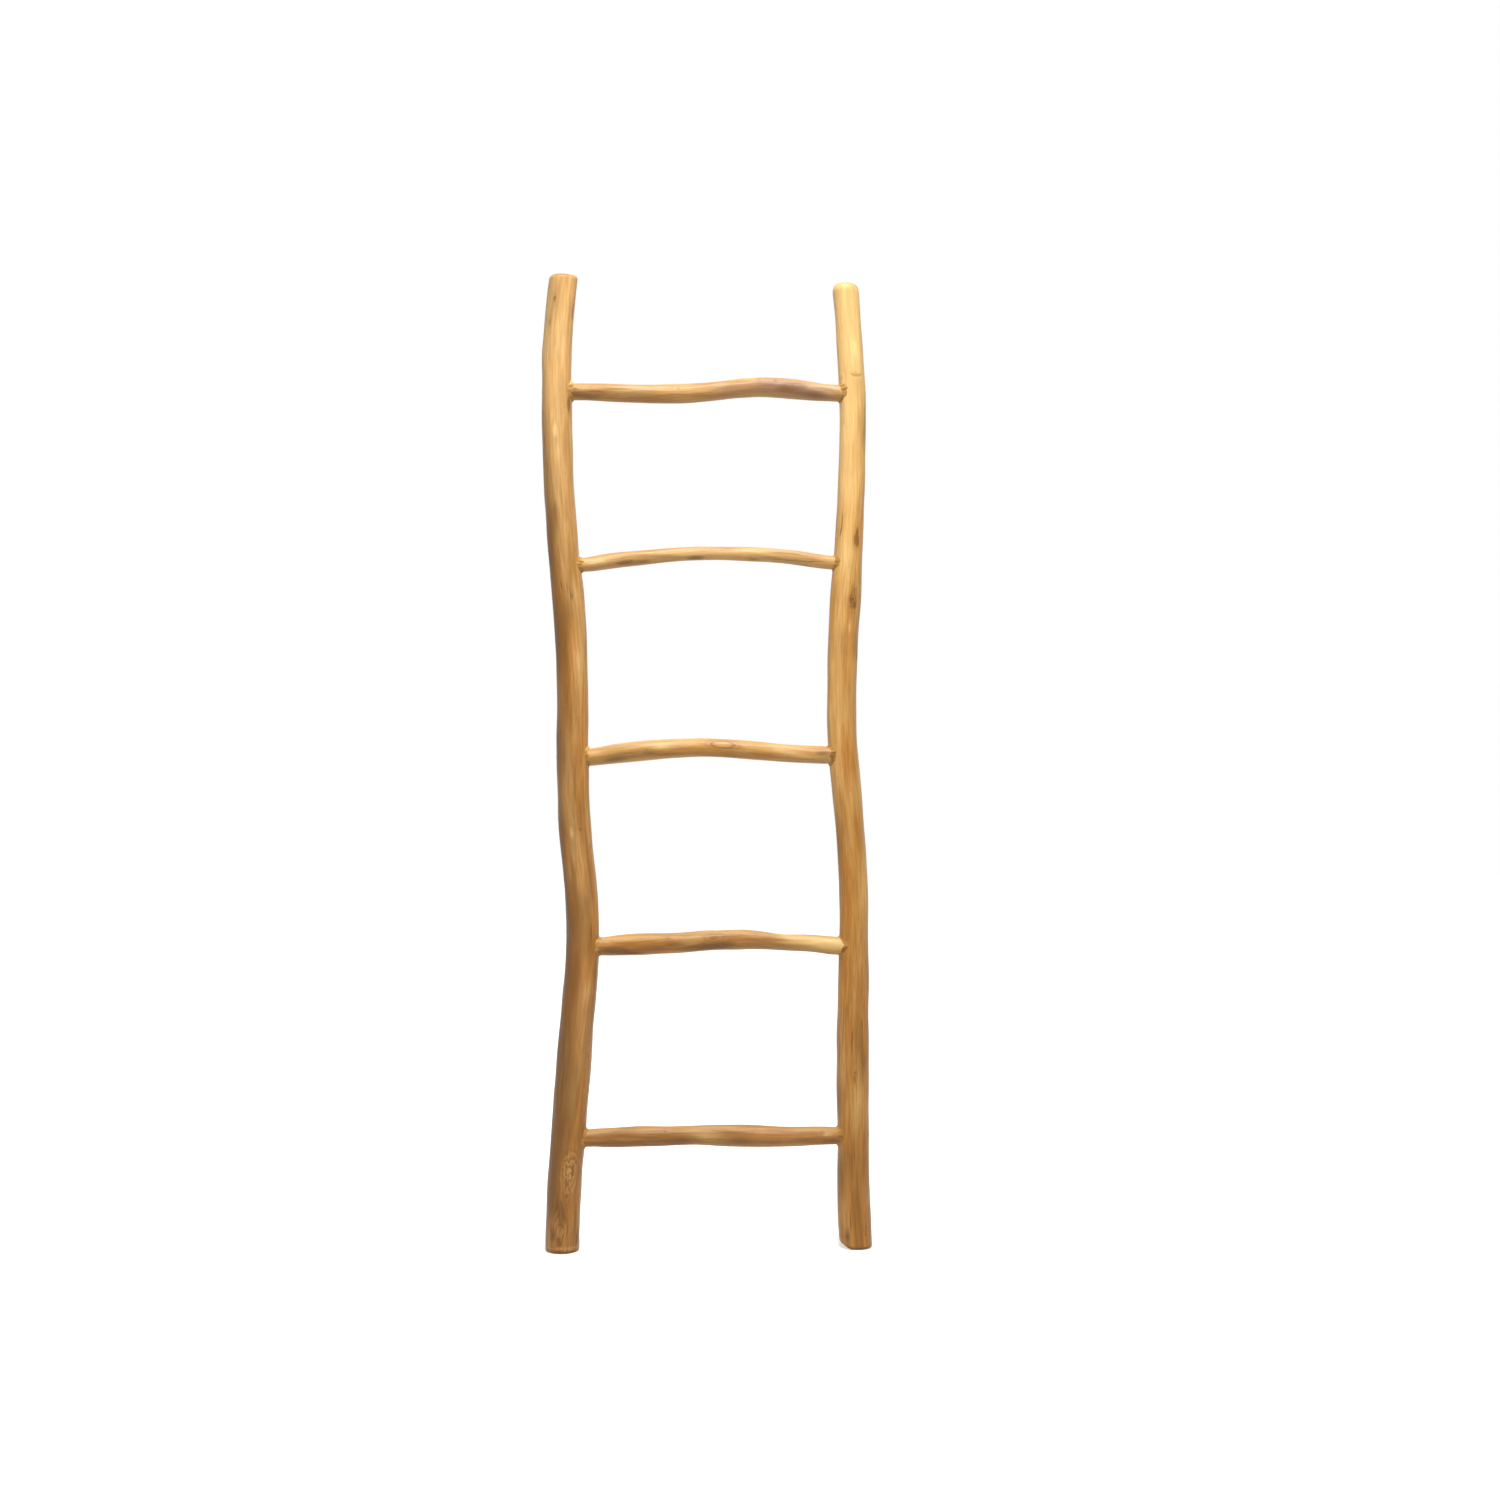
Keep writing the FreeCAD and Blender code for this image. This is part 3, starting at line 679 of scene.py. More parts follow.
def rail_profile(rail, side, joints):
    """Rows of a rail from the middle of its foot to the middle of its top: the
    place along it, a scale of its radius, a bite off it and how sawn it is. A flat
    end runs out at a growing scale. Its rim is a quarter ellipse, inset*(1-cos t),
    bite*(1-sin t), and is sawn by (1-sin t)^2."""
    turn = np.linspace(0, math.pi / 2, EASE_ROWS)
    flat = np.linspace(1 / CAP_ROWS, 1, CAP_ROWS, endpoint=False)
    left = 1 - np.sin(turn)
    ends = []
    for end in ("foot", "top"):
        inset, bite = EASES[f"{side}_{end}"]
        cap = (0 * flat, flat, bite * flat, 1 + 0 * flat)
        rim = (inset * (1 - np.cos(turn)), 1 + 0 * turn, bite * left, left**2)
        ends.append(np.concatenate((cap, rim), axis=1))
    foot, top = ends
    top = top[:, ::-1]
    foot[0], top[0] = rail.low + foot[0], rail.high - top[0]
    between = rail_places(rail, joints)
    between = between[(between > foot[0, -1] + MM) & (between < top[0, 0] - MM)]
    middle = (between, 1 + 0 * between, 0 * between, 0 * between)
    return np.concatenate((foot, middle, top), axis=1)[..., None]


def press_hole(points, rail, joint, radius, floor, way):
    """Presses a round blind hole along X into a rail's skin.

    Points near the mouth's circle move onto it, and keep to the skin. Points inside
    it go to the hole's flat floor, and the outermost of these to the wall's foot,
    so that the wall stands straight."""
    facing = way * (points[..., 0] - rail.curve(points[..., 2])[..., 0]) > 0
    y, z = points[..., 1] - joint[1], points[..., 2] - joint[2]
    away = np.hypot(y, z)
    rim = facing & (np.abs(away - radius) <= MOUTH_BAND * JOINT_STEP)
    inside = facing & (away < radius - MOUTH_BAND * JOINT_STEP)
    foot = inside & (away > radius - FOOT_BAND * JOINT_STEP)
    onto = np.where(rim | foot, radius / np.maximum(away, 1e-9), 1.0)
    points[..., 1] = joint[1] + y * onto
    points[..., 2] = joint[2] + z * onto
    on_skin = face_of(rail, points[..., 1], points[..., 2], way)
    points[..., 0] = np.where(rim, on_skin, np.where(inside, floor, points[..., 0]))


def bevel_foot(points, rail):
    """Cuts the inner corner off the right foot: points past the slanting plane move
    onto it along X. The plane goes from the foot's inner side, at the bevel's
    height, down to the bevel's width on the floor, and its edges are rounded by
    (gap + sqrt(gap^2 + soft^2)) / 2."""
    middle = rail.curve(rail.low)
    edge = middle[0] - middle[2]
    plane = edge + BEVEL_WIDTH * (1 - points[..., 2] / BEVEL_HEIGHT)
    gap = points[..., 0] - plane
    lifted = plane + 0.5 * (gap + np.sqrt(gap**2 + BEVEL_SOFT**2))
    low = points[..., 2] < BEVEL_REACH
    points[..., 0] = np.where(low, np.maximum(points[..., 0], lifted), points[..., 0])


# ---------------------------------------------------------------- shader nodes


class Nodes:
    """Lays nodes in one tree. Each input is a value or another node's output."""

    def __init__(self, tree):
        self.tree = tree

    def add(self, kind, inputs=None, **settings):
        node = self.tree.nodes.new(kind)
        for title, value in settings.items():
            setattr(node, title, value)
        for title, value in (inputs or {}).items():
            if isinstance(value, bpy.types.NodeSocket):
                self.tree.links.new(value, node.inputs[title])
            else:
                node.inputs[title].default_value = value
        return node

    def math(self, operation, *values, clamp=False):
        given = dict(enumerate(values))
        return self.add("ShaderNodeMath", given, operation=operation, use_clamp=clamp).outputs[0]

    def times(self, first, second, clamp=False):
        return self.math("MULTIPLY", first, second, clamp=clamp)

    def sum(self, first, factor, second, clamp=False):
        """The first times the factor, plus the second."""
        return self.math("MULTIPLY_ADD", first, factor, second, clamp=clamp)

    def less(self, first, second):
        return self.math("SUBTRACT", first, second)

    def most(self, first, second):
        return self.math("MAXIMUM", first, second)

    def off(self, value, middle):
        """How far a value is from another one, either way."""
        return self.math("ABSOLUTE", self.less(value, middle))

    def vector(self, operation, *values):
        """The vector that an operation gives, or the number that a length is."""
        node = self.add("ShaderNodeVectorMath", dict(enumerate(values)), operation=operation)
        return node.outputs["Value" if operation == "LENGTH" else "Vector"]

    def along(self, vector, share):
        """A place with its part along the branch times a share."""
        return self.vector("MULTIPLY", vector, (1.0, 1.0, share))

    def parts(self, vector):
        return self.add("ShaderNodeSeparateXYZ", {0: vector}).outputs

    def place(self):
        return self.add("ShaderNodeTexCoord").outputs["Object"]

    def read(self, name, output="Fac"):
        """An attribute of the mesh."""
        node = self.add("ShaderNodeAttribute", attribute_type="GEOMETRY", attribute_name=name)
        return node.outputs[output]

    def noise(self, vector, scale, detail=2.0, roughness=0.5):
        given = {"Vector": vector, "Scale": scale, "Detail": detail, "Roughness": roughness}
        return self.add("ShaderNodeTexNoise", given).outputs["Fac"]

    def between(self, value, low, high, out_low=0.0, out_high=1.0):
        """The value's place from low to high, eased at both ends."""
        given = {"Value": value, 1: low, 2: high, 3: out_low, 4: out_high}
        node = self.add("ShaderNodeMapRange", given, interpolation_type="SMOOTHSTEP")
        return node.outputs[0]

    def group(self, name, inputs):
        """A node group placed with its inputs, as its outputs."""
        return self.add("ShaderNodeGroup", inputs, node_tree=bpy.data.node_groups[name]).outputs

    def mix(self, share, first, second, way="MIX"):
        given = {0: share, 6: first, 7: second}
        return self.add("ShaderNodeMix", given, data_type="RGBA", blend_type=way).outputs[2]


def new_group(name, vectors, floats):
    """A shader node group with named inputs: its nodes, and its inputs by name."""
    tree = bpy.data.node_groups.new(name, "ShaderNodeTree")
    for kind, titles in (("Vector", vectors), ("Float", floats)):
        for title in titles:
            tree.interface.new_socket(title, in_out="INPUT", socket_type=f"NodeSocket{kind}")
    nodes = Nodes(tree)
    return nodes, nodes.add("NodeGroupInput").outputs


def send(nodes, values):
    """Puts a group's values out, each by its name."""
    for title in values:
        nodes.tree.interface.new_socket(title, in_out="OUTPUT", socket_type="NodeSocketFloat")
    nodes.add("NodeGroupOutput", values)


def grain_group():
    """Long grain of peeled wood, from the place in the straightened branch.

    Rings are where a slow stretched noise, lifted by the dome and curled where the
    wood is figured, passes whole numbers: each darkens gradually and ends sharply, as
    a year's growth does. Patches, clouds, streaks and fibres are noise drawn out along
    the branch, pores are its rare peaks, and checks are hairlines where it crosses its
    mean."""
    nodes, given = new_group("branch_grain", ("Grain",), ("Dome", "Figure", "Rings", "Curl"))
    grain = given["Grain"]
    drawn = nodes.along(grain, 0.05)
    slow = nodes.noise(nodes.along(grain, 0.17), 24.0, 1.5, 0.45)
    lifted = nodes.math("ADD", slow, nodes.times(given["Dome"], 0.5))
    wavy = nodes.sum(nodes.noise(drawn, 260.0), 0.035, lifted)
    curly = nodes.less(nodes.noise(nodes.along(grain, 0.5), 110.0, 2.0, 0.6), 0.5)
    wavy = nodes.sum(nodes.times(curly, given["Figure"]), given["Curl"], wavy)
    share = nodes.math("FRACT", nodes.times(wavy, given["Rings"]))
    patches = nodes.noise(nodes.along(grain, 0.3), 20.0, 3.0, 0.55)
    clouds = nodes.noise(nodes.along(grain, 0.14), 70.0)
    sapwood = nodes.noise(nodes.along(grain, 0.1), 31.0)
    pores = nodes.noise(nodes.along(drawn, 1.5), 1500.0, 1.0)
    cross = nodes.off(nodes.noise(nodes.along(grain, 0.02), 90.0, 1.0), 0.5)
    rare = nodes.between(nodes.noise(grain, 14.0, 1.0), 0.56, 0.66)
    given = {
        "Rings": nodes.times(nodes.between(share, 0.3, 0.9), nodes.between(share, 1.0, 0.93)),
        "Patches": nodes.between(patches, 0.36, 0.64),
        "Clouds": nodes.between(clouds, 0.32, 0.68),
        "Sapwood": nodes.between(sapwood, 0.42, 0.66),
        "Streaks": nodes.between(nodes.noise(drawn, 300.0, 3.0, 0.6), 0.25, 0.75),
        "Fibres": nodes.noise(drawn, 1100.0, 3.0, 0.65),
        "Pores": nodes.between(pores, 0.66, 0.74),
        "Checks": nodes.times(nodes.between(cross, 0.009, 0.003), rare),
    }
    send(nodes, given)


def knot_group():
    """Knots, creases and loops, each from the place beside the nearest one: across
    and along over its size, and a share that fades away from it.

    A knot has a dark heart, a dark rim at distance 1, and fine rings, the sine of the
    distance times 16. A crease is a line where along + 0.3*(1 - across^2) is near 0.
    A loop is a thin line at distance 1.1 with a fainter one round it."""
    nodes, given = new_group("branch_knot", ("Knot", "Crease", "Loop", "Grain"), ())
    noise = nodes.noise(given["Grain"], 420.0, 3.0)
    knot, crease, loop = (nodes.parts(given[title]) for title in ("Knot", "Crease", "Loop"))

    def distance(title):
        return nodes.vector("LENGTH", nodes.along(given[title], 0.0))

    apart = nodes.less(nodes.sum(noise, 0.6, distance("Knot")), 0.3)
    heart = nodes.between(apart, 0.62, 0.2)
    rim = nodes.between(nodes.off(apart, 1.0), 0.26, 0.04)
    wave = nodes.math("SINE", nodes.times(apart, 16.0))
    rings = nodes.times(nodes.between(wave, 0.0, 1.0), nodes.between(apart, 1.8, 0.8))
    dark = nodes.most(heart, nodes.times(rim, 0.5))
    dark = nodes.times(nodes.most(dark, nodes.times(rings, 0.3)), knot["Z"])

    across = nodes.math("ABSOLUTE", crease["X"])
    bowl = nodes.sum(nodes.math("POWER", across, 2.0), -0.3, 0.3)
    sag = nodes.math("ADD", crease["Y"], nodes.sum(noise, 0.3, bowl))
    line = nodes.between(nodes.off(sag, 0.15), 0.42, 0.0)
    line = nodes.times(nodes.times(line, nodes.between(across, 1.5, 0.6)), crease["Z"])

    apart = nodes.sum(noise, 0.35, distance("Loop"))
    ring = nodes.between(nodes.off(apart, 1.1), 0.24, 0.06)
    echo = nodes.between(nodes.off(apart, 1.6), 0.2, 0.06)
    ring = nodes.times(nodes.sum(echo, 0.4, ring), loop["Z"])
    send(nodes, {"Dark": dark, "Line": nodes.most(ring, nodes.times(line, 0.6))})


def end_group():
    """A sawn end: growth rings round an off-centre pith, and checks that run out from
    it."""
    nodes, given = new_group("sawn_end", ("Across",), ("Ring Width",))
    level = nodes.along(nodes.vector("ADD", given["Across"], (0.002, -0.0015, 0.0)), 0.0)
    length = nodes.vector("LENGTH", level)
    way = nodes.vector("NORMALIZE", level)
    wobble = nodes.times(nodes.noise(level, 120.0), 0.002)
    count = nodes.math("DIVIDE", nodes.math("ADD", length, wobble), given["Ring Width"])
    share = nodes.math("FRACT", count)
    split = nodes.between(nodes.noise(way, 5.5, 2.0, 0.6), 0.66, 0.69)
    given = {
        "Rings": nodes.times(nodes.between(share, 0.2, 0.85), nodes.between(share, 1.0, 0.9)),
        "Rays": nodes.noise(way, 26.0, 2.0, 0.6),
        "Checks": nodes.times(split, nodes.between(length, 0.019, 0.006)),
    }
    send(nodes, given)


def paint(colour):
    """One of the ladder's colours by its name, for a shader."""
    return (*getattr(bpy.context.scene.ladder_colours, colour), 1.0)


def shade(material, colour, roughness, height, settings):
    """The material's own shader, with a bump that varies over the surface."""
    nodes = Nodes(material.node_tree)
    given = {"Strength": 1.0, "Distance": BUMP_DEPTH, "Height": height}
    normal = nodes.add("ShaderNodeBump", given).outputs[0]
    given = {"Base Color": colour, "Roughness": roughness, "Normal": normal, **settings}
    shader = nodes.add("ShaderNodeBsdfPrincipled", given)
    nodes.add("ShaderNodeOutputMaterial", {"Surface": shader.outputs[0]})


def blank_material(name):
    material = bpy.data.materials.new(name)
    material.use_nodes = True
    material.node_tree.nodes.clear()
    return material


def wood_material(name):
    """Peeled and lightly oiled wood. The colour goes from honey to heartwood in
    patches and towards the foot, to amber in soft clouds, and to sapwood in streaks
    and towards the head.

    Over that lie mauve, growth rings, dark stains with painted shade at the sawn ends
    and down the rails' sides, the branch's tint, which dims most rungs as painted
    shade, streaks and fibres that are calmer on pale wood, creases and loops, pores,
    hairline checks, knots and the sawn ends. The heartwood takes in painted shade
    along one side of some branches, and the pale wood the painted highlight along the
    rungs' tops."""
    look = dict(zip(LOOK, LOOKS[name]))
    material = blank_material(f"{name}_wood")
    nodes = Nodes(material.node_tree)

    def over(share, below, colour):
        return nodes.mix(share, below, paint(colour))

    def dimmed(colour, light):
        """Darker and redder below 1, paler above it: light, light^1.3, light^1.8."""
        green, blue = nodes.math("POWER", light, 1.3), nodes.math("POWER", light, 1.8)
        warm = nodes.add("ShaderNodeCombineColor", {0: light, 1: green, 2: blue})
        return nodes.mix(1.0, colour, warm.outputs[0], "MULTIPLY")

    grain, figure = nodes.read("grain", "Vector"), nodes.read("figure")
    tone, end = nodes.read("tone"), nodes.read("end")
    tints = nodes.parts(nodes.read("tint", "Vector"))
    given = {"Grain": grain, "Dome": nodes.read("dome"), "Figure": figure}
    wood = nodes.group("branch_grain", {**given, "Rings": look["rings"], "Curl": look["curl"]})
    given = {title: nodes.read(title.lower(), "Vector") for title in ("Knot", "Crease", "Loop")}
    knot = nodes.group("branch_knot", {**given, "Grain": grain})
    sawn = nodes.group("sawn_end", {"Across": grain, "Ring Width": RING_WIDTH})

    upward = nodes.parts(nodes.place())["Z"]
    low = nodes.between(upward, 1.3, 0.1)
    brown = nodes.sum(low, look["foot"], nodes.times(tints["X"], 0.75))
    brown = nodes.sum(wood["Patches"], look["heartwood"], brown, clamp=True)
    colour = over(brown, paint("honey"), "heartwood")
    colour = over(nodes.times(wood["Clouds"], look["amber"]), colour, "amber")
    pale = nodes.times(wood["Sapwood"], look["sapwood"])
    # Tone above 0 pales the wood, the painted highlight along the rungs' tops among it.
    pale = nodes.sum(nodes.most(tone, 0.0), 0.8, pale)
    pale = nodes.sum(nodes.between(upward, 0.9, 1.45), look["head"], pale, clamp=True)
    colour = over(pale, colour, "sapwood")
    colour = over(nodes.times(tints["Y"], 0.75), colour, "mauve")

    plain = nodes.less(1.0, wood["Rings"])
    colour = over(nodes.times(plain, nodes.times(figure, 0.22)), colour, "sapwood")
    strength = nodes.sum(pale, -0.5 * look["lines"], look["lines"])
    strength = nodes.sum(figure, 0.7, strength)
    colour = over(nodes.times(wood["Rings"], strength, clamp=True), colour, "growth_line")
    # Tone below 0 stains the wood: real dark patches, and painted shade on the sawn ends' edges and
    # down the rails' sides.
    dark = nodes.times(nodes.math("MINIMUM", tone, 0.0), -1.5)
    ragged = nodes.sum(wood["Streaks"], 0.7, dark)
    stain_and_shade = nodes.times(nodes.between(ragged, 0.45, 1.5), nodes.between(dark, 0.02, 0.6))
    stain_and_shade = nodes.times(stain_and_shade, 0.8)
    colour = over(stain_and_shade, colour, "stain_and_shade")
    # The tint multiplies the whole branch, and on most rungs dims it as painted shade.
    colour = nodes.mix(1.0, colour, (*look["tint"], 1.0), "MULTIPLY")
    streaks = nodes.between(wood["Streaks"], 0.0, 1.0, 0.84, 1.14)
    fibres = nodes.between(wood["Fibres"], 0.25, 0.75, 0.93, 1.06)
    uneven = nodes.less(nodes.times(streaks, fibres), 1.0)
    calm = nodes.sum(pale, -0.5, 1.0)
    colour = dimmed(colour, nodes.sum(uneven, calm, 1.0))
    colour = over(nodes.times(knot["Line"], 0.75), colour, "growth_line")
    pores = nodes.times(wood["Pores"], nodes.times(calm, 0.25))
    marks = nodes.most(nodes.most(pores, wood["Checks"]), knot["Dark"])
    colour = over(nodes.times(marks, 0.7), colour, "knot")

    across = over(nodes.times(sawn["Rings"], 0.5), paint("sawn_end"), "growth_line")
    across = dimmed(across, nodes.between(sawn["Rays"], 0.2, 0.8, 0.8, 1.1))
    across = over(sawn["Checks"], across, "knot")
    # On a sawn end the stain, there mostly painted shade under the eased edge, is laid in the knot
    # colour.
    colour = nodes.mix(end, colour, over(stain_and_shade, across, "knot"))

    rough = nodes.sum(end, 0.2, nodes.sum(wood["Fibres"], 0.15, look["roughness"]))
    relief = nodes.sum(wood["Streaks"], 0.35, wood["Fibres"])
    relief = nodes.less(relief, nodes.times(wood["Rings"], 0.35))
    relief = nodes.less(relief, nodes.sum(end, sawn["Checks"], marks))
    wax = {"Specular IOR Level": look["gloss"], "Sheen Weight": 0.1, "Sheen Roughness": 0.4}
    shade(material, colour, rough, relief, wax)
    return material


def filler_material():
    """Sawdust and glue, pressed in by hand: ochre, pale where tone is above 0 and
    brown where it is below, with specks and small crumbs. Tone holds painted light on
    each bead's top and painted shade under it and along its crease."""
    material = blank_material("joint_filler")
    nodes = Nodes(material.node_tree)
    cloud = nodes.noise(nodes.place(), 190.0, 3.0, 0.6)
    crumbs = nodes.noise(nodes.place(), 1300.0, 3.0, 0.7)
    uneven = nodes.math("ADD", nodes.read("tone"), nodes.sum(cloud, 0.9, -0.45))
    colour = nodes.mix(nodes.between(uneven, -1.0, -0.1), paint("dark_and_shaded_filler"), paint("filler"))
    colour = nodes.mix(nodes.between(uneven, 0.25, 1.0), colour, paint("pale_filler"))
    specks = nodes.between(crumbs, 0.35, 0.7, 0.72, 1.12)
    grey = nodes.add("ShaderNodeCombineColor", {0: specks, 1: specks, 2: specks}).outputs[0]
    colour = nodes.mix(1.0, colour, grey, "MULTIPLY")
    rough, relief = nodes.sum(crumbs, 0.3, 0.45), nodes.sum(cloud, 0.6, crumbs)
    shade(material, colour, rough, relief, {"Specular IOR Level": 0.3})
    return material


# ---------------------------------------------------------------- properties


def length(name, description, default):
    return FloatProperty(
        name=name,
        description=description,
        default=default,
        min=0.0,
        max=0.02,
        precision=5,
        subtype="DISTANCE",
        unit="LENGTH",
    )


def tint(name, description, default):
    return FloatVectorProperty(
        name=name,
        description=description,
        default=default,
        min=0.0,
        max=1.0,
        size=3,
        subtype="COLOR",
    )


def power(name, description, default):
    return FloatProperty(
        name=name,
        description=description,
        default=default,
        min=0.0,
        subtype="POWER",
        unit="POWER",
    )


class LadderSizes(bpy.types.PropertyGroup):
    """Sizes of what is shaped on the branches."""

    out_of_round: length("Out of round", "How much flatter a branch is one way", 0.9 * MM)
    lump_height: length("Lumps", "Height of the lumps left by peeling", 0.3 * MM)
    fibre_height: length("Fibres", "Height of the fibres along the branch", 0.05 * MM)
    pin_diameter: length("Pin diameter", "Diameter of the pins", 8 * MM)
    pin_proud: length("Pin proud", "How far a pin's end stands out", 0.15 * MM)


class LadderColours(bpy.types.PropertyGroup):
    """Colours of the wood and of the filler."""

    honey: tint("Honey", "Most of the wood", (0.64, 0.315, 0.070))
    heartwood: tint("Heartwood", "Browner wood, most near the floor", (0.325, 0.138, 0.020))
    amber: tint("Amber", "Orange clouds in the wood", (0.60, 0.245, 0.048))
    sapwood: tint("Sapwood", "Pale outer wood", (0.88, 0.57, 0.22))
    mauve: tint("Mauve", "Greyish wood on the top rung", (0.30, 0.145, 0.085))
    growth_line: tint("Growth line", "End of a year's growth", (0.31, 0.115, 0.022))
    # The stain colour also lays painted shade at the sawn ends and down the rails' sides, and the
    # knot colour lays it under the sawn ends.
    stain_and_shade: tint("Stain", "Dark patches of heartwood and glue", (0.205, 0.085, 0.014))
    knot: tint("Knot", "Knots, pores and checks", (0.115, 0.045, 0.010))
    sawn_end: tint("Sawn end", "End grain", (0.50, 0.29, 0.12))
    filler: tint("Filler", "Glue and sawdust round a joint", (0.54, 0.28, 0.065))
    # Pale filler shows in part as painted light on the beads' tops, and dark filler as the filler's
    # own dark colour and as painted shade under the beads and in their creases.
    pale_filler: tint("Pale filler", "Lumps of pale filler", (0.80, 0.53, 0.22))
    dark_and_shaded_filler: tint("Dark filler", "Filler in the crease", (0.34, 0.14, 0.026))


class LadderStage(bpy.types.PropertyGroup):
    """The light on the ladder."""

    key_power: power("Top lamp", "Power of the soft lamp above and in front", 207.0)
    fill_power: power("Front lamp", "Power of the soft lamp in front", 6.5)
    surround: FloatProperty(
        name="Surround",
        description="Light from the white room on all sides",
        default=0.15,
        min=0.0,
        max=1.0,
        subtype="FACTOR",
    )


# ---------------------------------------------------------------- operators


class LADDER_OT_stage(bpy.types.Operator):
    """Sets up the camera, the pale floor, the soft lamps and the white surround"""

    bl_idname = "ladder.stage"
    bl_label = "Stage"

    def execute(self, context):
        scene = context.scene
        scene.view_settings.view_transform = "Standard"
        self.add_camera(scene)
        self.add_lamps(scene.ladder_stage)
        self.add_surround(scene)
        self.add_floor()
        return {"FINISHED"}

    def add_camera(self, scene):
        """Level, 3.2 m in front, a little left of the ladder and turned towards it."""
        lens = bpy.data.cameras.new("camera")
        lens.lens = 50.0
        lens.sensor_width = 36.0
        camera = show("camera", lens)
        camera.location = (-0.1484, -3.2153, 0.7703)
        camera.rotation_euler = (math.pi / 2, 0, math.radians(-3.8))
        scene.camera = camera

    def add_lamps(self, stage):
        for name, place, aim, size, energy in (
            ("top_lamp", (0.14, -1.7, 4.6), (0.05, 0.0, 0.75), (1.0, 1.0), stage.key_power),
            ("front_lamp", (0.08, -1.4, 1.9), (0.05, 0.0, 1.0), (0.5, 0.6), stage.fill_power),
        ):
            lamp = bpy.data.lights.new(name, "AREA")
            lamp.shape = "RECTANGLE"
            lamp.size, lamp.size_y = size
            lamp.energy = energy
            holder = show(name, lamp)
            holder.location = place
            away = Vector(place) - Vector(aim)
            holder.rotation_euler = away.to_track_quat("Z", "Y").to_euler()

    def add_surround(self, scene):
        """White to the camera and in reflections, dimmer as a light."""
        world = bpy.data.worlds.new("white_room")
        world.use_nodes = True
        world.node_tree.nodes.clear()
        scene.world = world
        nodes = Nodes(world.node_tree)
        given = {"Value": self.seen(nodes), 3: scene.ladder_stage.surround, 4: 1.0}
        strength = nodes.add("ShaderNodeMapRange", given).outputs[0]
        light = nodes.add("ShaderNodeBackground", {"Color": (1, 1, 1, 1), "Strength": strength})
        nodes.add("ShaderNodeOutputWorld", {"Surface": light.outputs[0]})

    def seen(self, nodes):
        """1 for what the camera sees, straight or in a reflection or through glass."""
        path = nodes.add("ShaderNodeLightPath").outputs
        mirrored = nodes.most(path["Is Glossy Ray"], path["Is Transmission Ray"])
        return nodes.most(path["Is Camera Ray"], mirrored)

    def add_floor(self):
        """A level floor with a plain pale finish, lifted to white where it is seen,
        least beside the feet, so that only their shadow is darker."""
        mesh = bpy.data.meshes.new("floor")
        corners = ((-1, -1), (1, -1), (1, 1), (-1, 1))
        corners = [(FLOOR_REACH * x, FLOOR_REACH * y, FLOOR_LEVEL) for x, y in corners]
        mesh.from_pydata(corners, [], [(0, 1, 2, 3)])
        material = blank_material("pale_floor")
        nodes = Nodes(material.node_tree)
        lit = nodes.add("ShaderNodeBsdfDiffuse", {"Color": (0.7, 0.7, 0.7, 1)})
        sides = nodes.vector("ABSOLUTE", nodes.place())
        away = nodes.vector("LENGTH", nodes.vector("SUBTRACT", sides, (FOOT_PLACE, 0.0, 0.0)))
        lift = nodes.times(self.seen(nodes), nodes.between(away, 0.02, 0.12, 0.62, 1.0))
        glow = nodes.add("ShaderNodeEmission", {"Color": (1, 1, 1, 1), "Strength": lift})
        both = nodes.add("ShaderNodeAddShader", {0: lit.outputs[0], 1: glow.outputs[0]})
        nodes.add("ShaderNodeOutputMaterial", {"Surface": both.outputs[0]})
        mesh.materials.append(material)
        floor = show("floor", mesh)


class LADDER_OT_rails(bpy.types.Operator):
    """Grows the two rails, with their sockets, pin holes, sawn ends and knots"""

    bl_idname = "ladder.rails"
    bl_label = "Rails"

    def execute(self, context):
        hole = context.scene.ladder_sizes.pin_diameter / 2 + PIN_PLAY
        angle = turns(RAIL_AROUND)
        for side in SIDES:
            node, inward = f"{side}_rail", INWARD[side]
            rail = branches[node]
            joints = [joint_of(rung, side) for rung in RUNGS]
            along, scale, taken, end = rail_profile(rail, side, [joint[2] for joint in joints])
            radius = rail.radius(along, angle) * scale - taken
            points = rail.place(along, angle, radius)
            attributes = rail.attributes(along, angle, radius, end)
            for joint in joints:
                tip, y, z, tenon = joint
                press_hole(points, rail, joint, tenon + SOCKET_PLAY, tip, inward)
                outer = face_of(rail, y, z, -inward)
                deep = outer + inward * PIN_DEPTH * abs(tip - outer)
                press_hole(points, rail, joint, hole, deep, -inward)
            if side == "right":
                bevel_foot(points, rail)
            mesh = grid_mesh(f"{node}_wood", np.clip(points, *cad_box), attributes)
            add_piece(f"{node}_skin", mesh, wood_material(node), "rail_wood", node)
        return {"FINISHED"}


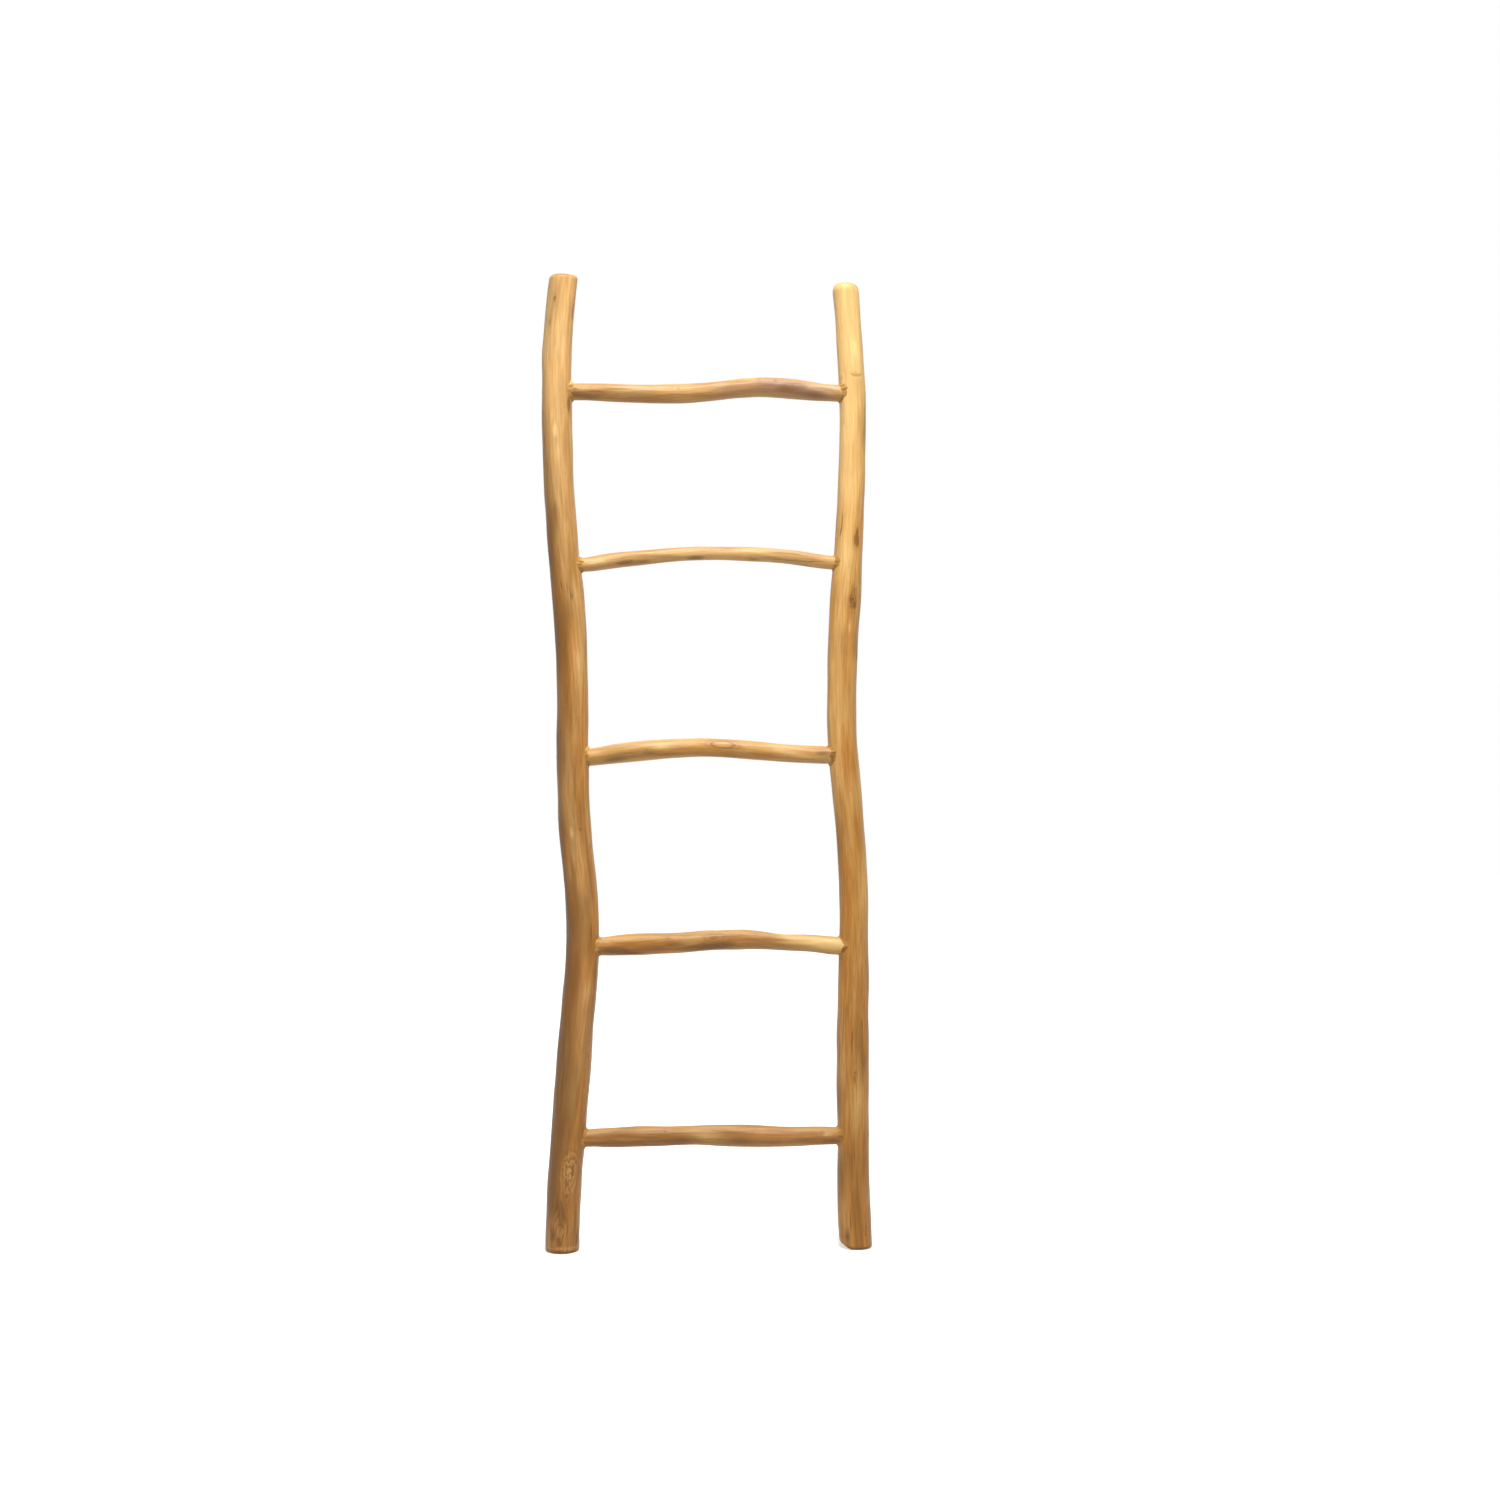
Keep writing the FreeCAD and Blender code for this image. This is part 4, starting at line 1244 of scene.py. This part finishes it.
class LADDER_OT_rungs(bpy.types.Operator):
    """Grows the five rungs, with a tenon and a pin hole at both ends"""

    bl_idname = "ladder.rungs"
    bl_label = "Rungs"

    def profile(self, rung, bore):
        """Rows from the bottom of the left pin's hole to that of the right one: the
        place, a scale of the skin's radius and a length added to it."""
        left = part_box(f"pin_{rung.node[-1]}_left")[1][0]
        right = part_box(f"pin_{rung.node[-1]}_right")[0][0]
        turn = np.linspace(0, math.pi / 2, TENON_ROWS)
        rise, full = TENON_EASE * (1 - np.cos(turn)), 1 + 0 * turn
        fall = TENON_EASE * (np.sin(turn) - 1)
        count = round((rung.high - rung.low) / RUNG_STEP)
        between = np.linspace(rung.low, rung.high, count)[1:-1]
        rows = (
            ([left, rung.low], [0, 0], [bore, bore]),
            (rung.low + rise, full, fall),
            (between, 1 + 0 * between, 0 * between),
            (rung.high - rise[::-1], full, fall[::-1]),
            ([rung.high, right], [0, 0], [bore, bore]),
        )
        return np.concatenate(rows, axis=1)[..., None]

    def execute(self, context):
        bore = context.scene.ladder_sizes.pin_diameter / 2 + PIN_PLAY
        angle = turns(RUNG_AROUND)
        for name in RUNGS:
            rung = branches[name]
            along, scale, added = self.profile(rung, bore)
            radius = rung.radius(along, angle) * scale + added
            attributes = rung.attributes(along, angle, radius, scale == 0)
            mesh = grid_mesh(f"{name}_wood", rung.place(along, angle, radius), attributes)
            add_piece(f"{name}_skin", mesh, wood_material(name), "rung_wood", name)
        return {"FINISHED"}


class LADDER_OT_pins(bpy.types.Operator):
    """Drives the ten wooden pins, each sanded off near its rail's skin"""

    bl_idname = "ladder.pins"
    bl_label = "Pins"

    def execute(self, context):
        wood = wood_material("pin")
        for rung in RUNGS:
            for side in SIDES:
                self.add_pin(context.scene.ladder_sizes, rung, side, wood)
        return {"FINISHED"}

    def add_pin(self, sizes, rung, side, wood):
        """A round bar along X from the bottom of its hole to the rail's skin. The
        outer face follows the skin, and is domed by proud*(1 - (r/R)^2)."""
        rail, inward = branches[f"{side}_rail"], INWARD[side]
        _, y, z, _ = joint_of(rung, side)
        name = f"pin_{rung[-1]}_{side}"
        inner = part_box(name)[1 if side == "left" else 0][0]
        angle = turns(PIN_AROUND, side == "left")
        face = np.linspace(0, 1, 9)[1:-1]
        share = np.concatenate((face, [0.97, 1.0, 1.0, 1.0, 0.97], face[::-1]))[:, None]
        across = share * sizes.pin_diameter / 2
        py, pz = y + across * np.cos(angle), z + across * np.sin(angle)
        skin = face_of(rail, py, pz, -inward)
        domed = skin - inward * sizes.pin_proud * (1 - share**2)
        row = np.arange(len(share))[:, None] - len(face)
        shown = [row < 1, row == 1, row == 2]
        x = np.select(shown, [domed, skin + inward * PIN_EASE, (skin + inner) / 2], inner)
        attributes = {
            "grain": np.stack((py - y, pz - z, x), axis=-1),
            "tone": 0 * x - 0.15,
            "end": 0 * x + (row < 2),
        }
        mesh = grid_mesh(f"{name}_wood", np.stack((x, py, pz), axis=-1), attributes)
        add_piece(f"{name}_dowel", mesh, wood, "pin_wood", name)


class LADDER_OT_filler(bpy.types.Operator):
    """Presses an uneven bead of filler into the crease round each joint"""

    bl_idname = "ladder.filler"
    bl_label = "Filler"

    def execute(self, context):
        material = filler_material()
        for number, (side, rung) in enumerate(FILLER):
            self.add_bead(side, rung, number, material)
        return {"FINISHED"}

    def add_bead(self, side, rung, number, material):
        """A ring round the rung in the corner between the two skins.

        At each angle, a section goes from the rail's skin to the rung's skin along a
        hollow curve, (1-t)^2*A + 2*t*(1-t)*B + t^2*C with B near the corner, and
        back inside the wood. The reach along both skins wanders with the angle, and
        a lump lifts the curve by a bell round its own angle."""
        on_rail, on_rung, turn, lump, paleness = FILLER[(side, rung)]
        rail, inward = branches[f"{side}_rail"], INWARD[side]
        _, y, z, tenon = joint_of(rung, side)
        angle = turns(BEAD_AROUND, side == "left")
        seed = BEAD_SEED + BEAD_SEEDS * number
        uneven = wander(0 * angle, angle, seed, (1, 6), (50, 60), 10)
        fine = wander(0 * angle, angle, seed + 1, (7, 17), (50, 60), 12)
        off = np.mod(angle - (math.pi - math.radians(turn)) + math.pi, 2 * math.pi) - math.pi
        bell = np.exp(-((off / 0.55) ** 2))
        fuller = (1 + 0.5 * bell) * MM
        on_rail = on_rail * fuller * np.clip(1 + 0.28 * uneven + 0.08 * fine, 0.45, 1.9)
        on_rung = on_rung * fuller * np.clip(1 - 0.25 * uneven + 0.10 * fine, 0.4, 1.9)

        def skin_x(ring):
            return face_of(rail, y + ring * np.cos(angle), z + ring * np.sin(angle), inward)

        corner, outermost = skin_x(tenon), tenon + on_rail
        t = np.linspace(0, 1, BEAD_ROWS)[:, None]
        start, bend, last = (1 - t) ** 2, 2 * t * (1 - t), t**2
        ring = start * outermost + bend * (tenon + BEAD_HOLLOW * on_rail)
        ring = ring + last * (tenon - BEAD_SUNK)
        ground = skin_x(ring)
        above = (bend * BEAD_HOLLOW + last) * on_rung - start * BEAD_SUNK
        arch = np.sin(math.pi * t)
        swell = 0.7 * MM * (lump * bell * arch**1.5 + 0.12 * fine * arch)
        ring = ring + swell
        x = ground + (corner - ground) * last + inward * (above + swell)
        # Rows inside the wood: the X and radius that each is near, and how many
        # millimetres deeper and nearer to the rung's middle it lies.
        under = (
            (x[-1:], tenon, 0.3, 1.0),
            (corner, tenon, 0.5, 1.6),
            (corner, tenon, 1.4, 0.6),
            (x[:1], outermost, 1.0, 0.5),
        )
        x = np.vstack((x, *(near - inward * deep * MM for near, _, deep, _ in under)))
        ring = np.vstack((ring, *(0 * angle + far - less * MM for _, far, _, less in under)))
        points = np.stack((x, y + ring * np.cos(angle), z + ring * np.sin(angle)), axis=-1)
        depth = np.vstack((2 * np.abs(t - 0.45), 0 * t[: len(under)]))
        # The bead is paler on its top and darker underneath, painted light and shade, and darker
        # along its hollow middle, painted crease shade; the rest of tone is the filler's own
        # unevenness and paleness.
        tone = 0.25 * uneven + 1.3 * paleness * bell + 0.3 * np.sin(angle) - 0.25 * (1 - depth)
        name = f"filler_{rung[-1]}_{side}"
        mesh = grid_mesh(name, points, {"tone": tone}, closed=True)
        add_piece(name, mesh, material, "rung_wood")


class LADDER_PT_sidebar(bpy.types.Panel):
    """Lists the ladder's sizes, colours, light and pieces"""

    bl_idname = "LADDER_PT_sidebar"
    bl_label = "Blanket Ladder"
    bl_space_type = "VIEW_3D"
    bl_region_type = "UI"
    bl_category = "Ladder"

    def draw(self, context):
        for title in ("ladder_sizes", "ladder_colours", "ladder_stage"):
            group = getattr(context.scene, title)
            column = self.layout.column(align=True)
            for setting in group.__annotations__:
                column.prop(group, setting)
        for operator in OPERATORS:
            self.layout.operator(operator.bl_idname)


GROUPS = {"ladder_sizes": LadderSizes, "ladder_colours": LadderColours, "ladder_stage": LadderStage}
OPERATORS = (
    LADDER_OT_stage,
    LADDER_OT_rails,
    LADDER_OT_rungs,
    LADDER_OT_pins,
    LADDER_OT_filler,
)


def register():
    for kind in (*GROUPS.values(), *OPERATORS, LADDER_PT_sidebar):
        bpy.utils.register_class(kind)
    for title, kind in GROUPS.items():
        setattr(bpy.types.Scene, title, PointerProperty(type=kind))


def unregister():
    for title in GROUPS:
        delattr(bpy.types.Scene, title)
    for kind in (LADDER_PT_sidebar, *reversed(OPERATORS), *GROUPS.values()):
        bpy.utils.unregister_class(kind)


branches = make_branches()


def main():
    """Builds the stage and every piece."""
    register()
    grain_group()
    knot_group()
    end_group()
    bpy.ops.ladder.stage()
    bpy.ops.ladder.rails()
    bpy.ops.ladder.rungs()
    bpy.ops.ladder.pins()
    bpy.ops.ladder.filler()


if __name__ == "__main__":
    main()
